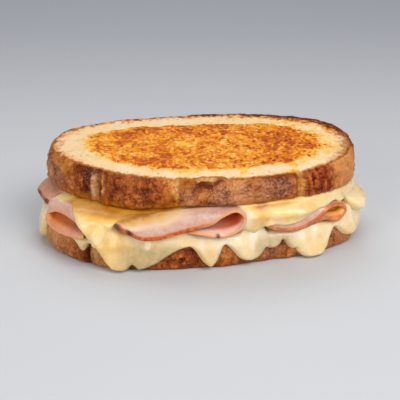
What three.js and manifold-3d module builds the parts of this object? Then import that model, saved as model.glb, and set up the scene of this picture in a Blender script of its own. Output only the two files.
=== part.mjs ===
// A grilled ham and cheese sandwich: two slices of rustic bread, folded ham between them, and a layer of
// melted cheese above and below the ham that runs out past the crust and hangs in drips.
// Millimetres, +Z up. The origin is the middle of the lower slice's flat underside, +X runs along the slices,
// and the side where the ham folds open faces -Y.
import * as THREE from "three";
import Module from "manifold-3d";
import { mergeVertices } from "three/addons/utils/BufferGeometryUtils.js";

// ---- Driving dimensions ----
const LOWER_SLICE_TOP = 16; // thickness of the lower slice
const UPPER_SLICE_TOP = 49; // height of the toasted face
// Height of the upper slice's underside, as [x, z]: it rests on an uneven filling
const UNDERSIDE = [[-90, 29.4], [-45, 29.3], [0, 33.6], [42, 34.4], [90, 30.6]];
const CLEARANCE = 0.35; // gap kept between neighbouring solids
const CHEESE_SLAB = 2.8; // cheese between the ham and the upper slice
const HAM_THICKNESS = 1.8;
const HAM_TUCK = 0.66; // how far the pressed part of a ham slice is drawn in towards the middle
const FOLD_GAP = 3.1; // between the two layers of a folded slice where the bread presses them

// Crust outlines of both slices, anticlockwise from the left end
const UPPER_OUTLINE = [
  [-80, 3], [-77.2, -11.5], [-66, -25.5], [-48, -38.5], [-24, -47.8], [6, -50], [32, -46], [54, -37],
  [71, -20.5], [79.4, -2], [79, 19], [68.5, 39], [43, 50], [14, 52], [-19, 47.5], [-52, 38.5], [-74.5, 24],
];
const LOWER_OUTLINE = [
  [-81.5, 0], [-79.5, -18.5], [-68.5, -36.5], [-48, -49], [-24, -52.4], [4, -49.4], [30, -42], [54, -33.4],
  [73.4, -18.6], [82, 2], [79.5, 21], [66, 38], [42, 47], [12, 50], [-20, 47], [-52, 38.5], [-74, 21],
];

// Scars and creases of the crust: [distance along the outline, depth, half width]
const UPPER_SCARS = [
  [43.5, 1.2, 1.5], [48.5, 1.3, 2.4], [92, 1.3, 2.2], [156.3, 1.6, 1.9], [252, 1.2, 2.6], [331, 1.5, 2.4],
];
const LOWER_SCARS = [[54, 2.4, 1], [140, 1, 2.4], [262, 1.2, 2.4], [352, 1.1, 2.6]];

// Hanging cheese: [distance along the lower slice's outline, height of the tip, half width before it, half
// width after it, extra thickness, roundness of the tip]. The later ones hang at the back.
const LOWER_DRIPS = [
  [10, 1, 12, 9, 0.8, 1.5], [51.5, 8.2, 5.5, 4.5, 0.3, 0.95], [72, 0.3, 13.5, 10, 3.4, 1.7],
  [81, 0.8, 12, 26, 0.8, 0.85], [117, 1.2, 11, 7.5, 1.3, 0.95], [137.5, 2.6, 14, 13, 1.4, 1.2],
  [150, 8.6, 9, 6, 0, 1.5], [161, 7, 7.5, 8, 0.4, 1.2], [171, 0.2, 13, 14, 3.4, 1.9],
  [198, 6, 13.5, 16, 1.8, 1.5], [242, 2.2, 14, 13, 1.2, 1.4], [281, 0.8, 17, 13, 1.8, 1.6],
  [319, 6.2, 15, 13, 0.4, 1.2], [357, 0.4, 18, 14, 2.4, 1.7], [399, 4.4, 17, 15, 0.8, 1.3],
];
const UPPER_FLOWS = [
  [60, 10, 20, 5, 3, 0.7], [84, 27, 18, 15, 0.2, 1.5], [138.5, 16.8, 10, 6, 1.4, 1.8],
  [157, 21.6, 22, 17, 2.6, 1.4], [186, 25.4, 14, 14, 1.2, 1.5], [207, 15.5, 18, 14, 4.4, 1.3],
  [246, 24, 22, 20, 1, 1.4], [288, 20, 18, 20, 1.6, 1.4], [336, 25, 20, 18, 0.8, 1.4],
  [371, 21, 15, 17, 1.2, 1.4],
];
// Hems of the tongue on the left and of the bulge over the ham on the right: [distance, height]
const TRACED_HEMS = [
  [
    [34, 29.5], [40, 28], [46.5, 24.8], [53, 19], [56.5, 14], [60.5, 12.6], [63, 12.4], [65.6, 16], [67.2, 23.2],
    [70, 25.2], [75, 26.6], [82, 27.4],
  ],
  [
    [126, 32], [129.3, 24], [133.5, 19.4], [139, 16.4], [141.5, 17], [145, 20.6], [148, 21.2], [156, 19.8],
    [160, 20.2], [166, 23.8], [170, 25.8], [176, 26.8], [187, 27.2],
  ],
];
const LOWER_ARCH = 13.6; // height of the hem between two drips
const LOWER_BARE = [[19, 43, 2.5]]; // stretches without a skirt: [from, to, soft edge]
const UPPER_BARE = [[99, 124, 4], [404, 22, 4]];
const DRAPE = [19, 31]; // between these heights the cheese leans from the lower outline to the upper one

// Folded ham slices. rim is the edge that shows, [x, y, z], from the hidden end of the upper layer, round the
// fold and along the lower layer; turn says at which end the fold lies.
const HAM = [
  {
    name: "ham_left", turn: -1, lift: 1.7, press: 5.7,
    rim: [
      [-59.5, -46.2, 17], [-61.8, -44.6, 21.3], [-64.4, -41.8, 22.9], [-69.6, -35.7, 24], [-75, -30.6, 23.7],
      [-79, -27.4, 20.8], [-79.8, -28, 17.6], [-77, -32.5, 15.4], [-71, -39.6, 15], [-65, -44.6, 15.3],
      [-59.6, -47.8, 16],
    ],
  },
  {
    name: "ham_centre", turn: 1, lift: 1.7, press: 4.6,
    rim: [
      [-49.5, -45.5, 27], [-46.5, -49.8, 25.4], [-43, -52.6, 24], [-38.3, -54.8, 22.2], [-31, -57, 19.3],
      [-23, -57.3, 19.3], [-11, -56.4, 22.2], [-1, -55.4, 24.8], [5.5, -54.2, 26.6], [11, -52.4, 29.8],
      [17.4, -50.6, 31.5], [21.4, -50.8, 28.2], [20.8, -51.6, 24.2], [17, -51.8, 20.8], [9.7, -53.3, 18.9],
      [0.8, -55, 20.8], [-6.5, -53.6, 21.4],
    ],
  },
  {
    name: "ham_right", turn: 1, lift: 6.4, press: 4.6,
    rim: [
      [32.5, -46.4, 21.8], [37, -44.8, 19.5], [44.4, -42.3, 18.2], [50, -40.4, 18.2], [55, -38, 20],
      [59.5, -35.8, 22.2], [64, -33, 25.4], [68, -29.6, 26.4], [72.2, -25.6, 24.4], [74.2, -23.8, 20.8],
      [71.4, -27, 18.2], [66.8, -30.2, 18.8], [62.5, -32.2, 20], [56, -34.5, 17.6], [50, -37.5, 16.4],
    ],
  },
];
// A flat slice that only leans out at the left end, above the folded one
const HAM_END = {
  name: "ham_end", press: 2.9,
  rim: [
    [-79.8, -13.5, 20.4], [-82.4, -9.5, 20.8], [-85.2, -3, 21.2], [-87.2, 3.6, 21.8], [-85.6, 9.4, 22.6],
    [-79.5, 14, 23.6],
  ],
};

const COLOURS = {
  crust: { color: 0xa8622f, roughness: 0.7 },
  upper_cheese: { color: 0xf0cf78, roughness: 0.35 },
  lower_cheese: { color: 0xf0dba0, roughness: 0.35 },
  ham: { color: 0xe2b0a0, roughness: 0.45 },
};

const wasm = await Module();
wasm.setup();

// ---- Helpers ----
const smooth = (edge0, edge1, x) => THREE.MathUtils.smoothstep(x, edge0, edge1);
const lerp = THREE.MathUtils.lerp;

// Piecewise smooth curve through [x, y] knots
function through(knots, x) {
  const last = knots.length - 1;
  if (x <= knots[0][0]) return knots[0][1];
  if (x >= knots[last][0]) return knots[last][1];
  const i = knots.findIndex((k, n) => n < last && x < knots[n + 1][0]);
  const t = (x - knots[i][0]) / (knots[i + 1][0] - knots[i][0]);
  return lerp(knots[i][1], knots[i + 1][1], t * t * (3 - 2 * t));
}

const undersideAt = (x) => through(UNDERSIDE, x);

// A closed outline measured by the distance along it
class Rim {
  constructor(points) {
    const corners = points.map(([x, y]) => new THREE.Vector3(x, y, 0));
    this.curve = new THREE.CatmullRomCurve3(corners, true, "catmullrom", 0.5);
    this.curve.arcLengthDivisions = 1200;
    this.length = this.curve.getLength();
  }
  // Point at a distance along the outline, moved outwards by out
  at(distance, out = 0) {
    const u = THREE.MathUtils.euclideanModulo(distance / this.length, 1);
    const p = this.curve.getPointAt(u);
    const t = this.curve.getTangentAt(u);
    return new THREE.Vector2(p.x + t.y * out, p.y - t.x * out);
  }
}

// Distance along a closed outline from one place to another, the short way round, signed
function along(from, to, length) {
  return THREE.MathUtils.euclideanModulo(to - from + length / 2, length) - length / 2;
}

// 1 inside the bare stretches and 0 outside, with soft edges
function bareness(stretches, distance, length) {
  return Math.max(...stretches.map(([from, to, soft]) => {
    const span = THREE.MathUtils.euclideanModulo(to - from, length);
    const middle = from + span / 2;
    return 1 - smooth(span / 2 - soft, span / 2 + soft, Math.abs(along(middle, distance, length)));
  }));
}

// A closed solid from rings of equal count, each a closed loop; the first and last are capped at their centre
function ringSolid(rings) {
  const n = rings[0].length;
  const positions = [];
  const faces = [];
  rings.forEach((ring) => ring.forEach((p) => positions.push(p.x, p.y, p.z)));
  for (let r = 0; r + 1 < rings.length; r++)
    for (let i = 0; i < n; i++) {
      const j = (i + 1) % n;
      const [a, b, c, d] = [r * n + i, r * n + j, (r + 1) * n + j, (r + 1) * n + i];
      faces.push(a, b, d, b, c, d);
    }
  const cap = (ring, offset, flip) => {
    const middle = ring.reduce((sum, p) => sum.add(p), new THREE.Vector3()).divideScalar(n);
    const centre = positions.length / 3;
    positions.push(middle.x, middle.y, middle.z);
    for (let i = 0; i < n; i++) {
      const j = (i + 1) % n;
      faces.push(...(flip ? [centre, offset + i, offset + j] : [centre, offset + j, offset + i]));
    }
  };
  cap(rings[0], 0, false);
  cap(rings[rings.length - 1], (rings.length - 1) * n, true);
  return indexed(positions, faces);
}

function indexed(positions, faces) {
  const geometry = new THREE.BufferGeometry();
  geometry.setAttribute("position", new THREE.Float32BufferAttribute(positions, 3));
  geometry.setIndex(faces);
  return geometry;
}

// A sheet of even thickness around its middle surface grid[row][column], grown by margin on every side.
// It is joined from the convex hulls of its cells, so that a tight fold stays a sound solid.
function sheetSolid(grid, thickness, margin = 0) {
  const rows = grid.length;
  const columns = grid[0].length;
  const at = (r, c) => grid[THREE.MathUtils.clamp(r, 0, rows - 1)][THREE.MathUtils.clamp(c, 0, columns - 1)];
  const outwards = (r, c, stepR, stepC) => {
    const step = at(r, c).clone().sub(at(r - stepR, c - stepC));
    return step.setLength(margin || 1e-9);
  };
  const skin = (side, r, c) => {
    const acrossRows = at(r + 1, c).clone().sub(at(r - 1, c));
    const acrossColumns = at(r, c + 1).clone().sub(at(r, c - 1));
    const normal = acrossRows.cross(acrossColumns).normalize();
    const p = at(r, c).clone().addScaledVector(normal, side * (thickness / 2 + margin));
    if (r === 0) p.add(outwards(r, c, -1, 0));
    if (r === rows - 1) p.add(outwards(r, c, 1, 0));
    if (c === 0) p.add(outwards(r, c, 0, -1));
    if (c === columns - 1) p.add(outwards(r, c, 0, 1));
    return p.toArray();
  };
  const cells = [];
  for (let r = 0; r + 1 < rows; r++)
    for (let c = 0; c + 1 < columns; c++) {
      const corners = [[r, c], [r + 1, c], [r, c + 1], [r + 1, c + 1]];
      cells.push(wasm.Manifold.hull(corners.flatMap(([i, j]) => [skin(1, i, j), skin(-1, i, j)])));
    }
  return wasm.Manifold.union(cells);
}

// ---- Bread ----
// Low lumps of the crust, the same all along its height, less its scars
function crustRelief(distance, length, scars) {
  const turn = (2 * Math.PI * distance) / length;
  let relief = 0.45 * Math.sin(7 * turn + 0.6) + 0.35 * Math.sin(13 * turn + 2.1);
  relief += 0.25 * Math.sin(23 * turn + 4);
  for (const [at, depth, half] of scars)
    relief -= depth * Math.exp(-((along(at, distance, length) / half) ** 2));
  return relief;
}

// How far the crust stands out from the outline at a share of its height
const crustBulge = (share) => 2.2 * Math.max(0, 1 - ((share - 0.42) / 0.62) ** 2) - 1;

// A slice as rings from the underside's middle round the crust to the top's middle
function breadSlice(rim, scars, bottomAt, topAt, count, margin = 0) {
  const profile = [ // [share of the height, inset from the bulged crust, relief that shows]
    [0, 1.4, 0.3], [0.06, 0.4, 0.8], [0.25, 0, 1], [0.5, 0, 1], [0.75, 0, 1], [0.95, 0.1, 0.7], [1, 1, 0.3],
  ];
  const ringOf = (share, placeAt) => Array.from({ length: count }, (_, i) => {
    const p = placeAt((i / count) * rim.length);
    return new THREE.Vector3(p.x, p.y, lerp(bottomAt(p.x) - margin, topAt(p.x) + margin, share));
  });
  const inside = ringOf(0, (distance) => rim.at(distance).multiplyScalar(0.4));
  const crust = profile.map(([share, inset, shows]) => ringOf(share, (distance) => {
    const relief = crustRelief(distance, rim.length, scars) * shows;
    return rim.at(distance, crustBulge(share) - inset + relief + margin);
  }));
  return ringSolid([inside, ...crust]);
}

// ---- Cheese ----
// Height of the hem at a distance along the outline
function hemAt(distance, length, drips, rest) {
  const heights = drips.map(([at, tip, before, after, , roundness]) => {
    const offset = along(at, distance, length);
    const share = Math.min(1, Math.abs(offset) / (offset < 0 ? before : after));
    const bell = (1 + Math.cos(Math.PI * share ** roundness)) / 2;
    return rest - (rest - tip) * bell;
  });
  return Math.min(rest, ...heights);
}

function extraThickness(distance, length, drips) {
  return Math.max(...drips.map(([at, , before, after, extra]) => {
    const offset = along(at, distance, length);
    return extra * Math.exp(-((offset / (offset < 0 ? before : after) / 0.62) ** 2));
  }));
}

// Height of a hem traced by knots
function tracedHem(distance, knots) {
  const i = Math.max(1, knots.findIndex(([at]) => at > distance));
  const [[from, low], [to, high]] = [knots[i - 1], knots[i]];
  return lerp(low, high, (distance - from) / (to - from));
}

// Places along an outline, closer together where drips hang
function placesAlong(length, drips, wide, close) {
  const places = [];
  for (let at = 0; at < length - close / 2; ) {
    places.push(at);
    const near = drips.some(([d, tip, before, after]) => {
      const offset = along(d, at, length);
      return offset > -before && offset < after && Math.min(before, after) < 16 && tip < 21;
    });
    at += near ? close : wide;
  }
  return places;
}

// Distance in the unrolled skirt from a place and height to the hem line
function distanceToHem(hem, distance, z, length) {
  let nearest = Infinity;
  for (const [place, height] of hem) {
    const across = Math.abs(along(place, distance, length));
    if (across < 6) nearest = Math.min(nearest, Math.hypot(across, z - height));
  }
  return nearest;
}

// Share of the full thickness that is left at a distance from the hem: the hem is rounded like a drop
function rounding(distance, radius) {
  const share = Math.min(1, distance / radius);
  return Math.sqrt(1 - (1 - share) ** 2);
}

// How far the skirt's top edge is rounded back at a height
function fallAway(z, roof, radius = 3.6) {
  const share = THREE.MathUtils.clamp((z - roof + radius) / radius, 0, 1);
  return radius * (1 - Math.sqrt(1 - share ** 2));
}

// A slab with a skirt: roof and floor are the slab's levels at x, inner and outer the skirt's offsets
function cheeseLayer({ places, roof, floor, hem, inner, outer, steps, roundTo }) {
  const length = lowerRim.length;
  const hemLine = Array.from({ length: Math.round(length) }, (_, at) => [at, hem(at)]);
  const columns = places.map((at) => {
    const edge = sideAt(at, 24, 0);
    const [high, under] = [roof(edge.x), floor(edge.x)];
    const low = Math.min(under - 0.15, hem(at));
    const column = [];
    const put = (out, z) => column.push(sideAt(at, z, out));
    const middle = edge.clone().multiplyScalar(0.4);
    const putInside = (level) => column.push(middle.clone().setZ(level(middle.x)));
    putInside(floor);
    put(inner(at, under) - 2.2, under);
    put(inner(at, low + 0.5), lerp(low, under - 0.1, 0.5));
    put(inner(at, low), low + 0.02);
    for (let i = 0; i <= steps; i++) {
      const z = lerp(low, high - 1.2, (i / steps) ** 1.25);
      const full = outer(at, z) - fallAway(z, high);
      const share = i === 0 ? 0.08 : rounding(distanceToHem(hemLine, at, z, length), roundTo);
      put(lerp(inner(at, z) + 0.25, full, share), z);
    }
    put(outer(at, high) - fallAway(high - 0.3, high), high - 0.3);
    put(Math.min(outer(at, high), 0) - 6, high);
    putInside(roof);
    return column;
  });
  const rings = columns[0].map((_, r) => columns.map((column) => column[r]));
  return ringSolid(rings);
}

const upperRim = new Rim(UPPER_OUTLINE);
const lowerRim = new Rim(LOWER_OUTLINE);

// A point of the filling's side at a distance along the lower outline: the side leans from the lower slice's
// outline to the upper slice's
function sideAt(distance, z, out) {
  const low = lowerRim.at(distance, out);
  const high = upperRim.at((distance * upperRim.length) / lowerRim.length, out);
  const p = low.lerp(high, smooth(DRAPE[0], DRAPE[1], z));
  return new THREE.Vector3(p.x, p.y, z);
}

function lowerCheese([wide, close], grow) {
  const length = lowerRim.length;
  const roof = (x) => undersideAt(x) - 9.4 + grow;
  const bareAt = (at) => bareness(LOWER_BARE, at, length);
  return cheeseLayer({
    places: placesAlong(length, LOWER_DRIPS, wide, close),
    roof,
    floor: () => LOWER_SLICE_TOP - 0.5,
    hem: (at) => lerp(hemAt(at, length, LOWER_DRIPS, LOWER_ARCH), LOWER_SLICE_TOP + 0.2, bareAt(at)) - grow,
    inner: () => -1.2,
    outer: (at, z) => {
      const low = 1 - smooth(3, 15, z); // a hanging drop is thickest at its foot
      let full = 3.6 + extraThickness(at, length, LOWER_DRIPS) * (0.3 + 0.7 * low);
      full *= 1 - 0.3 * smooth(LOWER_SLICE_TOP - 3, roof(0), z);
      return lerp(full, -1.5, bareAt(at)) + grow;
    },
    steps: 5,
    roundTo: 3.2,
  });
}

function upperCheese([wide, close]) {
  const length = lowerRim.length;
  const floor = (x) => undersideAt(x) - CLEARANCE - CHEESE_SLAB;
  const bareAt = (at) => bareness(UPPER_BARE, at, length);
  return cheeseLayer({
    places: placesAlong(length, UPPER_FLOWS, wide, close),
    roof: (x) => undersideAt(x) + 0.6,
    floor,
    hem: (at) => {
      const rest = floor(sideAt(at, 24, 0).x);
      const knots = TRACED_HEMS.find((line) => at > line[0][0] && at < line[line.length - 1][0]);
      const hem = knots ? tracedHem(at, knots) : hemAt(at, length, UPPER_FLOWS, rest + 0.4);
      return Math.min(hem, rest - 0.2);
    },
    inner: (at) => lerp(-1, -9, bareAt(at)),
    outer: (at, z) => {
      const depth = undersideAt(sideAt(at, 24, 0).x) - z;
      const full = 3 + extraThickness(at, length, UPPER_FLOWS);
      return lerp(lerp(0.9, full, smooth(0, 6, depth)), -7.4, bareAt(at));
    },
    steps: 6,
    roundTo: 3,
  });
}

// ---- Ham ----
function pathThrough(points) {
  const corners = points.map((p) => new THREE.Vector3(...p));
  const curve = new THREE.CatmullRomCurve3(corners, false, "centripetal");
  curve.arcLengthDivisions = 400;
  return curve;
}

// Where a ray from the middle through a point leaves the upper outline
function outlineThrough(x, y) {
  const wanted = Math.atan2(y, x);
  let best = null;
  for (let at = 0; at < upperRim.length; at += 1) {
    const p = upperRim.at(at);
    const error = Math.abs(Math.atan2(Math.sin(p.angle() - wanted), Math.cos(p.angle() - wanted)));
    if (!best || error < best.error) best = { error, p };
  }
  return best.p;
}

// Share of a rim's length at which it turns back
function foldOf(path, turn) {
  const reach = (u) => turn * path.getPointAt(u).x;
  const shares = Array.from({ length: 201 }, (_, i) => i / 200);
  return shares.reduce((best, u) => (reach(u) > reach(best) ? u : best));
}

// Rows of one folded slice from its rim in front, under the bread, to its rim at the back
function foldedHam({ rim, turn, lift, press }, columns) {
  const path = pathThrough(rim);
  const bend = foldOf(path, turn);
  const rows = [];
  const addRow = (make) => {
    const row = [];
    for (let c = 0; c < columns; c++) row.push(make(c / (columns - 1)));
    rows.push(row);
  };
  const layerAt = (u) => smooth(bend - 0.07, bend + 0.07, u); // 0 on the upper layer, 1 on the lower
  const pressed = (u, drop) => {
    const p = path.getPointAt(u);
    return undersideAt(p.x * 0.85) - drop - FOLD_GAP * layerAt(u);
  };
  const inner = (u) => {
    const p = path.getPointAt(u);
    return new THREE.Vector3(p.x * 0.9, p.y * HAM_TUCK, pressed(u, press));
  };
  // Just inside the crust the upper layer touches the bread and the lower one hangs open
  const lip = (u) => {
    const p = path.getPointAt(u);
    const open = Math.max(lerp(pressed(u, press), p.z, 0.7), LOWER_SLICE_TOP + 1.8);
    return new THREE.Vector3(p.x * 0.97, p.y * 0.88, lerp(undersideAt(p.x * 0.97) - lift, open, layerAt(u)));
  };
  const drape = (u, t) => {
    const start = lip(u);
    const end = path.getPointAt(u);
    const knee = start.clone().lerp(end, 0.85).setZ(lerp(start.z, end.z, 0.12));
    return new THREE.QuadraticBezierCurve3(start, knee, end).getPoint(t);
  };
  for (const t of [1, 0.66, 0.33, 0]) addRow((u) => drape(u, t));
  addRow(inner);
  const backEdge = (u, out, drop) => {
    const p = inner(u);
    const edge = outlineThrough(p.x, Math.abs(p.y) * 1.25);
    const reach = (edge.length() + out) / edge.length();
    const sag = drop * (1 + 0.5 * Math.sin(11 * u + rim.length));
    return new THREE.Vector3(edge.x * reach, edge.y * reach, p.z - sag);
  };
  addRow((u) => new THREE.Vector3(inner(u).x, -inner(u).y, inner(u).z));
  addRow((u) => backEdge(u, -3, 0.2));
  addRow((u) => backEdge(u, 2.6, 1.6));
  addRow((u) => backEdge(u, 4.4, 4.4));
  return rows;
}

// The room between both layers of a folded slice, from its rim to where the bread presses it
function foldSpace(grid, turn, rim, lastRow) {
  const columns = grid[0].length;
  const middle = foldOf(pathThrough(rim), turn) * (columns - 1);
  const cells = [];
  for (let r = 0; r < lastRow; r++)
    for (let c = Math.ceil(middle); c + 1 < columns; c++) {
      const facing = [c, c + 1].map((lower) => Math.max(0, Math.round(2 * middle - lower)));
      const around = [c, c + 1, ...facing];
      const corners = [grid[r], grid[r + 1]].flatMap((row) => around.map((column) => row[column].toArray()));
      cells.push(wasm.Manifold.hull(corners));
    }
  return wasm.Manifold.union(cells);
}

// The slice that leans out at the left end: rows from its rim inwards
function endHam({ rim, press }, columns) {
  const path = pathThrough(rim);
  const rows = [1, 0.66, 0.33, 0].map((t) => {
    const row = [];
    for (let c = 0; c < columns; c++) {
      const end = path.getPointAt(c / (columns - 1));
      const start = new THREE.Vector3(end.x * 0.88, end.y * 0.92, undersideAt(end.x) - press + 0.9);
      const knee = start.clone().lerp(end, 0.7).setZ(start.z - 0.3);
      row.push(new THREE.QuadraticBezierCurve3(start, knee, end).getPoint(t));
    }
    return row;
  });
  rows.push(rows[3].map(({ x, y }) => {
    const inside = x * 0.66;
    return new THREE.Vector3(inside, y * 0.8 + 4, undersideAt(inside) - press);
  }));
  return rows;
}

// ---- Joining and cutting ----
function solidOf(geometry) {
  const bare = mergeVertices(geometry, 1e-4);
  return new wasm.Manifold(new wasm.Mesh({
    numProp: 3,
    vertProperties: bare.attributes.position.array,
    triVerts: new Uint32Array(bare.index.array),
  }));
}

// The largest body of a solid as a geometry
function largest(solid) {
  const bodies = solid.simplify(0.06).decompose().sort((a, b) => b.volume() - a.volume());
  const mesh = bodies[0].getMesh();
  const positions = [];
  for (let i = 0; i < mesh.numVert; i++) {
    const start = i * mesh.numProp;
    positions.push(...mesh.vertProperties.slice(start, start + 3));
  }
  return indexed(positions, Array.from(mesh.triVerts));
}

const group = new THREE.Group();

function add(name, geometry, colour) {
  const mesh = new THREE.Mesh(geometry, new THREE.MeshStandardMaterial(colour));
  mesh.name = name;
  group.add(mesh);
}

const HAM_COLUMNS = 19;
const END_COLUMNS = 10;
// Spacing of the cheeses' columns, [between drips, at drips]
const LOWER_SPACING = [7, 3.5];
const UPPER_SPACING = [9, 4.8];

function lowerSlice(margin) {
  return breadSlice(lowerRim, LOWER_SCARS, () => 0, () => LOWER_SLICE_TOP, 88, margin);
}

function upperSlice(margin) {
  return breadSlice(upperRim, UPPER_SCARS, undersideAt, () => UPPER_SLICE_TOP, 92, margin);
}

add("bread_lower", lowerSlice(0), COLOURS.crust);
add("bread_upper", upperSlice(0), COLOURS.crust);

let keepOut = solidOf(lowerSlice(CLEARANCE)).add(solidOf(upperSlice(CLEARANCE)));
for (const slice of [...HAM, HAM_END]) {
  const grid = slice.turn ? foldedHam(slice, HAM_COLUMNS) : endHam(slice, END_COLUMNS);
  add(slice.name, largest(sheetSolid(grid, HAM_THICKNESS)), COLOURS.ham);
  keepOut = keepOut.add(sheetSolid(grid, HAM_THICKNESS, CLEARANCE));
  if (slice.turn) keepOut = keepOut.add(foldSpace(grid, slice.turn, slice.rim, 4));
}
add("cheese_lower", largest(solidOf(lowerCheese(LOWER_SPACING, 0)).subtract(keepOut)), COLOURS.lower_cheese);
keepOut = keepOut.add(solidOf(lowerCheese(LOWER_SPACING, CLEARANCE)));
add("cheese_upper", largest(solidOf(upperCheese(UPPER_SPACING)).subtract(keepOut)), COLOURS.upper_cheese);

export default group;
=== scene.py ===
import itertools
import math

import bpy
import numpy as np
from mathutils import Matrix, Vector


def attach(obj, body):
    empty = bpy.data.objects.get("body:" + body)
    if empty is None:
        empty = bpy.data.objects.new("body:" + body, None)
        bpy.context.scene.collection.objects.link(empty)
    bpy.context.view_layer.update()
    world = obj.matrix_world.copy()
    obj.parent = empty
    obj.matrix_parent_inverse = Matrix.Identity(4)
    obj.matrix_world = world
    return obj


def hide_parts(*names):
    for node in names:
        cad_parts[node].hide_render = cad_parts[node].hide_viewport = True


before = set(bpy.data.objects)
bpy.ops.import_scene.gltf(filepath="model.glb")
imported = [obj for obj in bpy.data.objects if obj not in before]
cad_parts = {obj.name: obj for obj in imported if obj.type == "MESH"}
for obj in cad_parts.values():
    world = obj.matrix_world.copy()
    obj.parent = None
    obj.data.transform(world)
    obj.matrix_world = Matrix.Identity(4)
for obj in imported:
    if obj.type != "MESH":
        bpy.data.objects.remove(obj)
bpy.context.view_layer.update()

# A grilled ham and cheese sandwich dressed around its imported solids: every solid is replaced by a finer one
# of the same form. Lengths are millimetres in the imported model's frame until ring_piece() makes them
# metres. A place on the bread or the cheese, s, is the distance along an outline from its left end past
# the front. A share is a part of the way, from 0 to 1.

# ---- Driving dimensions, the same as the solids' ----
LOWER_SLICE_TOP = 16.0
UPPER_SLICE_TOP = 49.0
UNDERSIDE = [(-90, 29.4), (-45, 29.3), (0, 33.6), (42, 34.4), (90, 30.6)]  # of the upper slice: (x, height)
BULGE = 2.2  # how far the crust swells out between a slice's faces
BULGE_MIDDLE = 0.42  # share of the height where it swells most
BULGE_REACH = 0.62  # share of the height from there to where it ends
LOWER_SKIRT = 3.6  # thickness of the hanging cheese
UPPER_SKIRT = 3
LOWER_ARCH = 13.6  # height of the lower hem between two drips
FILLING_MIDDLE = 24.0
DRAPE = (19, 31)  # between these heights the cheese leans from the lower outline to the upper one
HAM_THICKNESS = 1.8
HAM_TUCK = 0.66  # how far the pressed part of a slice of ham is drawn in towards the middle
FOLD_GAP = 3.1  # between the two layers of a folded slice where the bread presses them
UPPER_OUTLINE = [
    (-80, 3), (-77.2, -11.5), (-66, -25.5), (-48, -38.5), (-24, -47.8), (6, -50), (32, -46), (54, -37),
    (71, -20.5), (79.4, -2), (79, 19), (68.5, 39), (43, 50), (14, 52), (-19, 47.5), (-52, 38.5), (-74.5, 24),
]
LOWER_OUTLINE = [
    (-81.5, 0), (-79.5, -18.5), (-68.5, -36.5), (-48, -49), (-24, -52.4), (4, -49.4), (30, -42), (54, -33.4),
    (73.4, -18.6), (82, 2), (79.5, 21), (66, 38), (42, 47), (12, 50), (-20, 47), (-52, 38.5), (-74, 21),
]
# Scars of the crust: (place, depth, half width)
UPPER_SCARS = [
    (43.5, 1.2, 1.5), (48.5, 1.3, 2.4), (92, 1.3, 2.2), (156.3, 1.6, 1.9), (252, 1.2, 2.6), (331, 1.5, 2.4),
]
LOWER_SCARS = [(54, 2.4, 1.0), (140, 1, 2.4), (262, 1.2, 2.4), (352, 1.1, 2.6)]
# Hanging cheese: (place, height of the tip, half width before, half width after, extra thickness,
# roundness of the tip)
LOWER_DRIPS = [
    (10, 1, 12, 9, 0.8, 1.5), (51.5, 8.2, 5.5, 4.5, 0.3, 0.95), (72, 0.3, 13.5, 10, 3.4, 1.7),
    (81, 0.8, 12, 26, 0.8, 0.85), (117, 1.2, 11, 7.5, 1.3, 0.95), (137.5, 2.6, 14, 13, 1.4, 1.2),
    (150, 8.6, 9, 6, 0, 1.5), (161, 7, 7.5, 8, 0.4, 1.2), (171, 0.2, 13, 14, 3.4, 1.9),
    (198, 6, 13.5, 16, 1.8, 1.5), (242, 2.2, 14, 13, 1.2, 1.4), (281, 0.8, 17, 13, 1.8, 1.6),
    (319, 6.2, 15, 13, 0.4, 1.2), (357, 0.4, 18, 14, 2.4, 1.7), (399, 4.4, 17, 15, 0.8, 1.3),
]
UPPER_FLOWS = [
    (60, 10, 20, 5, 3, 0.7), (84, 27, 18, 15, 0.2, 1.5), (138.5, 16.8, 10, 6, 1.4, 1.8),
    (157, 21.6, 22, 17, 2.6, 1.4), (186, 25.4, 14, 14, 1.2, 1.5), (207, 15.5, 18, 14, 4.4, 1.3),
    (246, 24, 22, 20, 1, 1.4), (288, 20, 18, 20, 1.6, 1.4), (336, 25, 20, 18, 0.8, 1.4),
    (371, 21, 15, 17, 1.2, 1.4),
]
# Stretches without cheese on the outside: (start, end, softness of the ends)
LOWER_BARE = [(19, 43, 2.5)]
UPPER_BARE = [(99, 124, 4), (404, 22, 4)]
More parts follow.
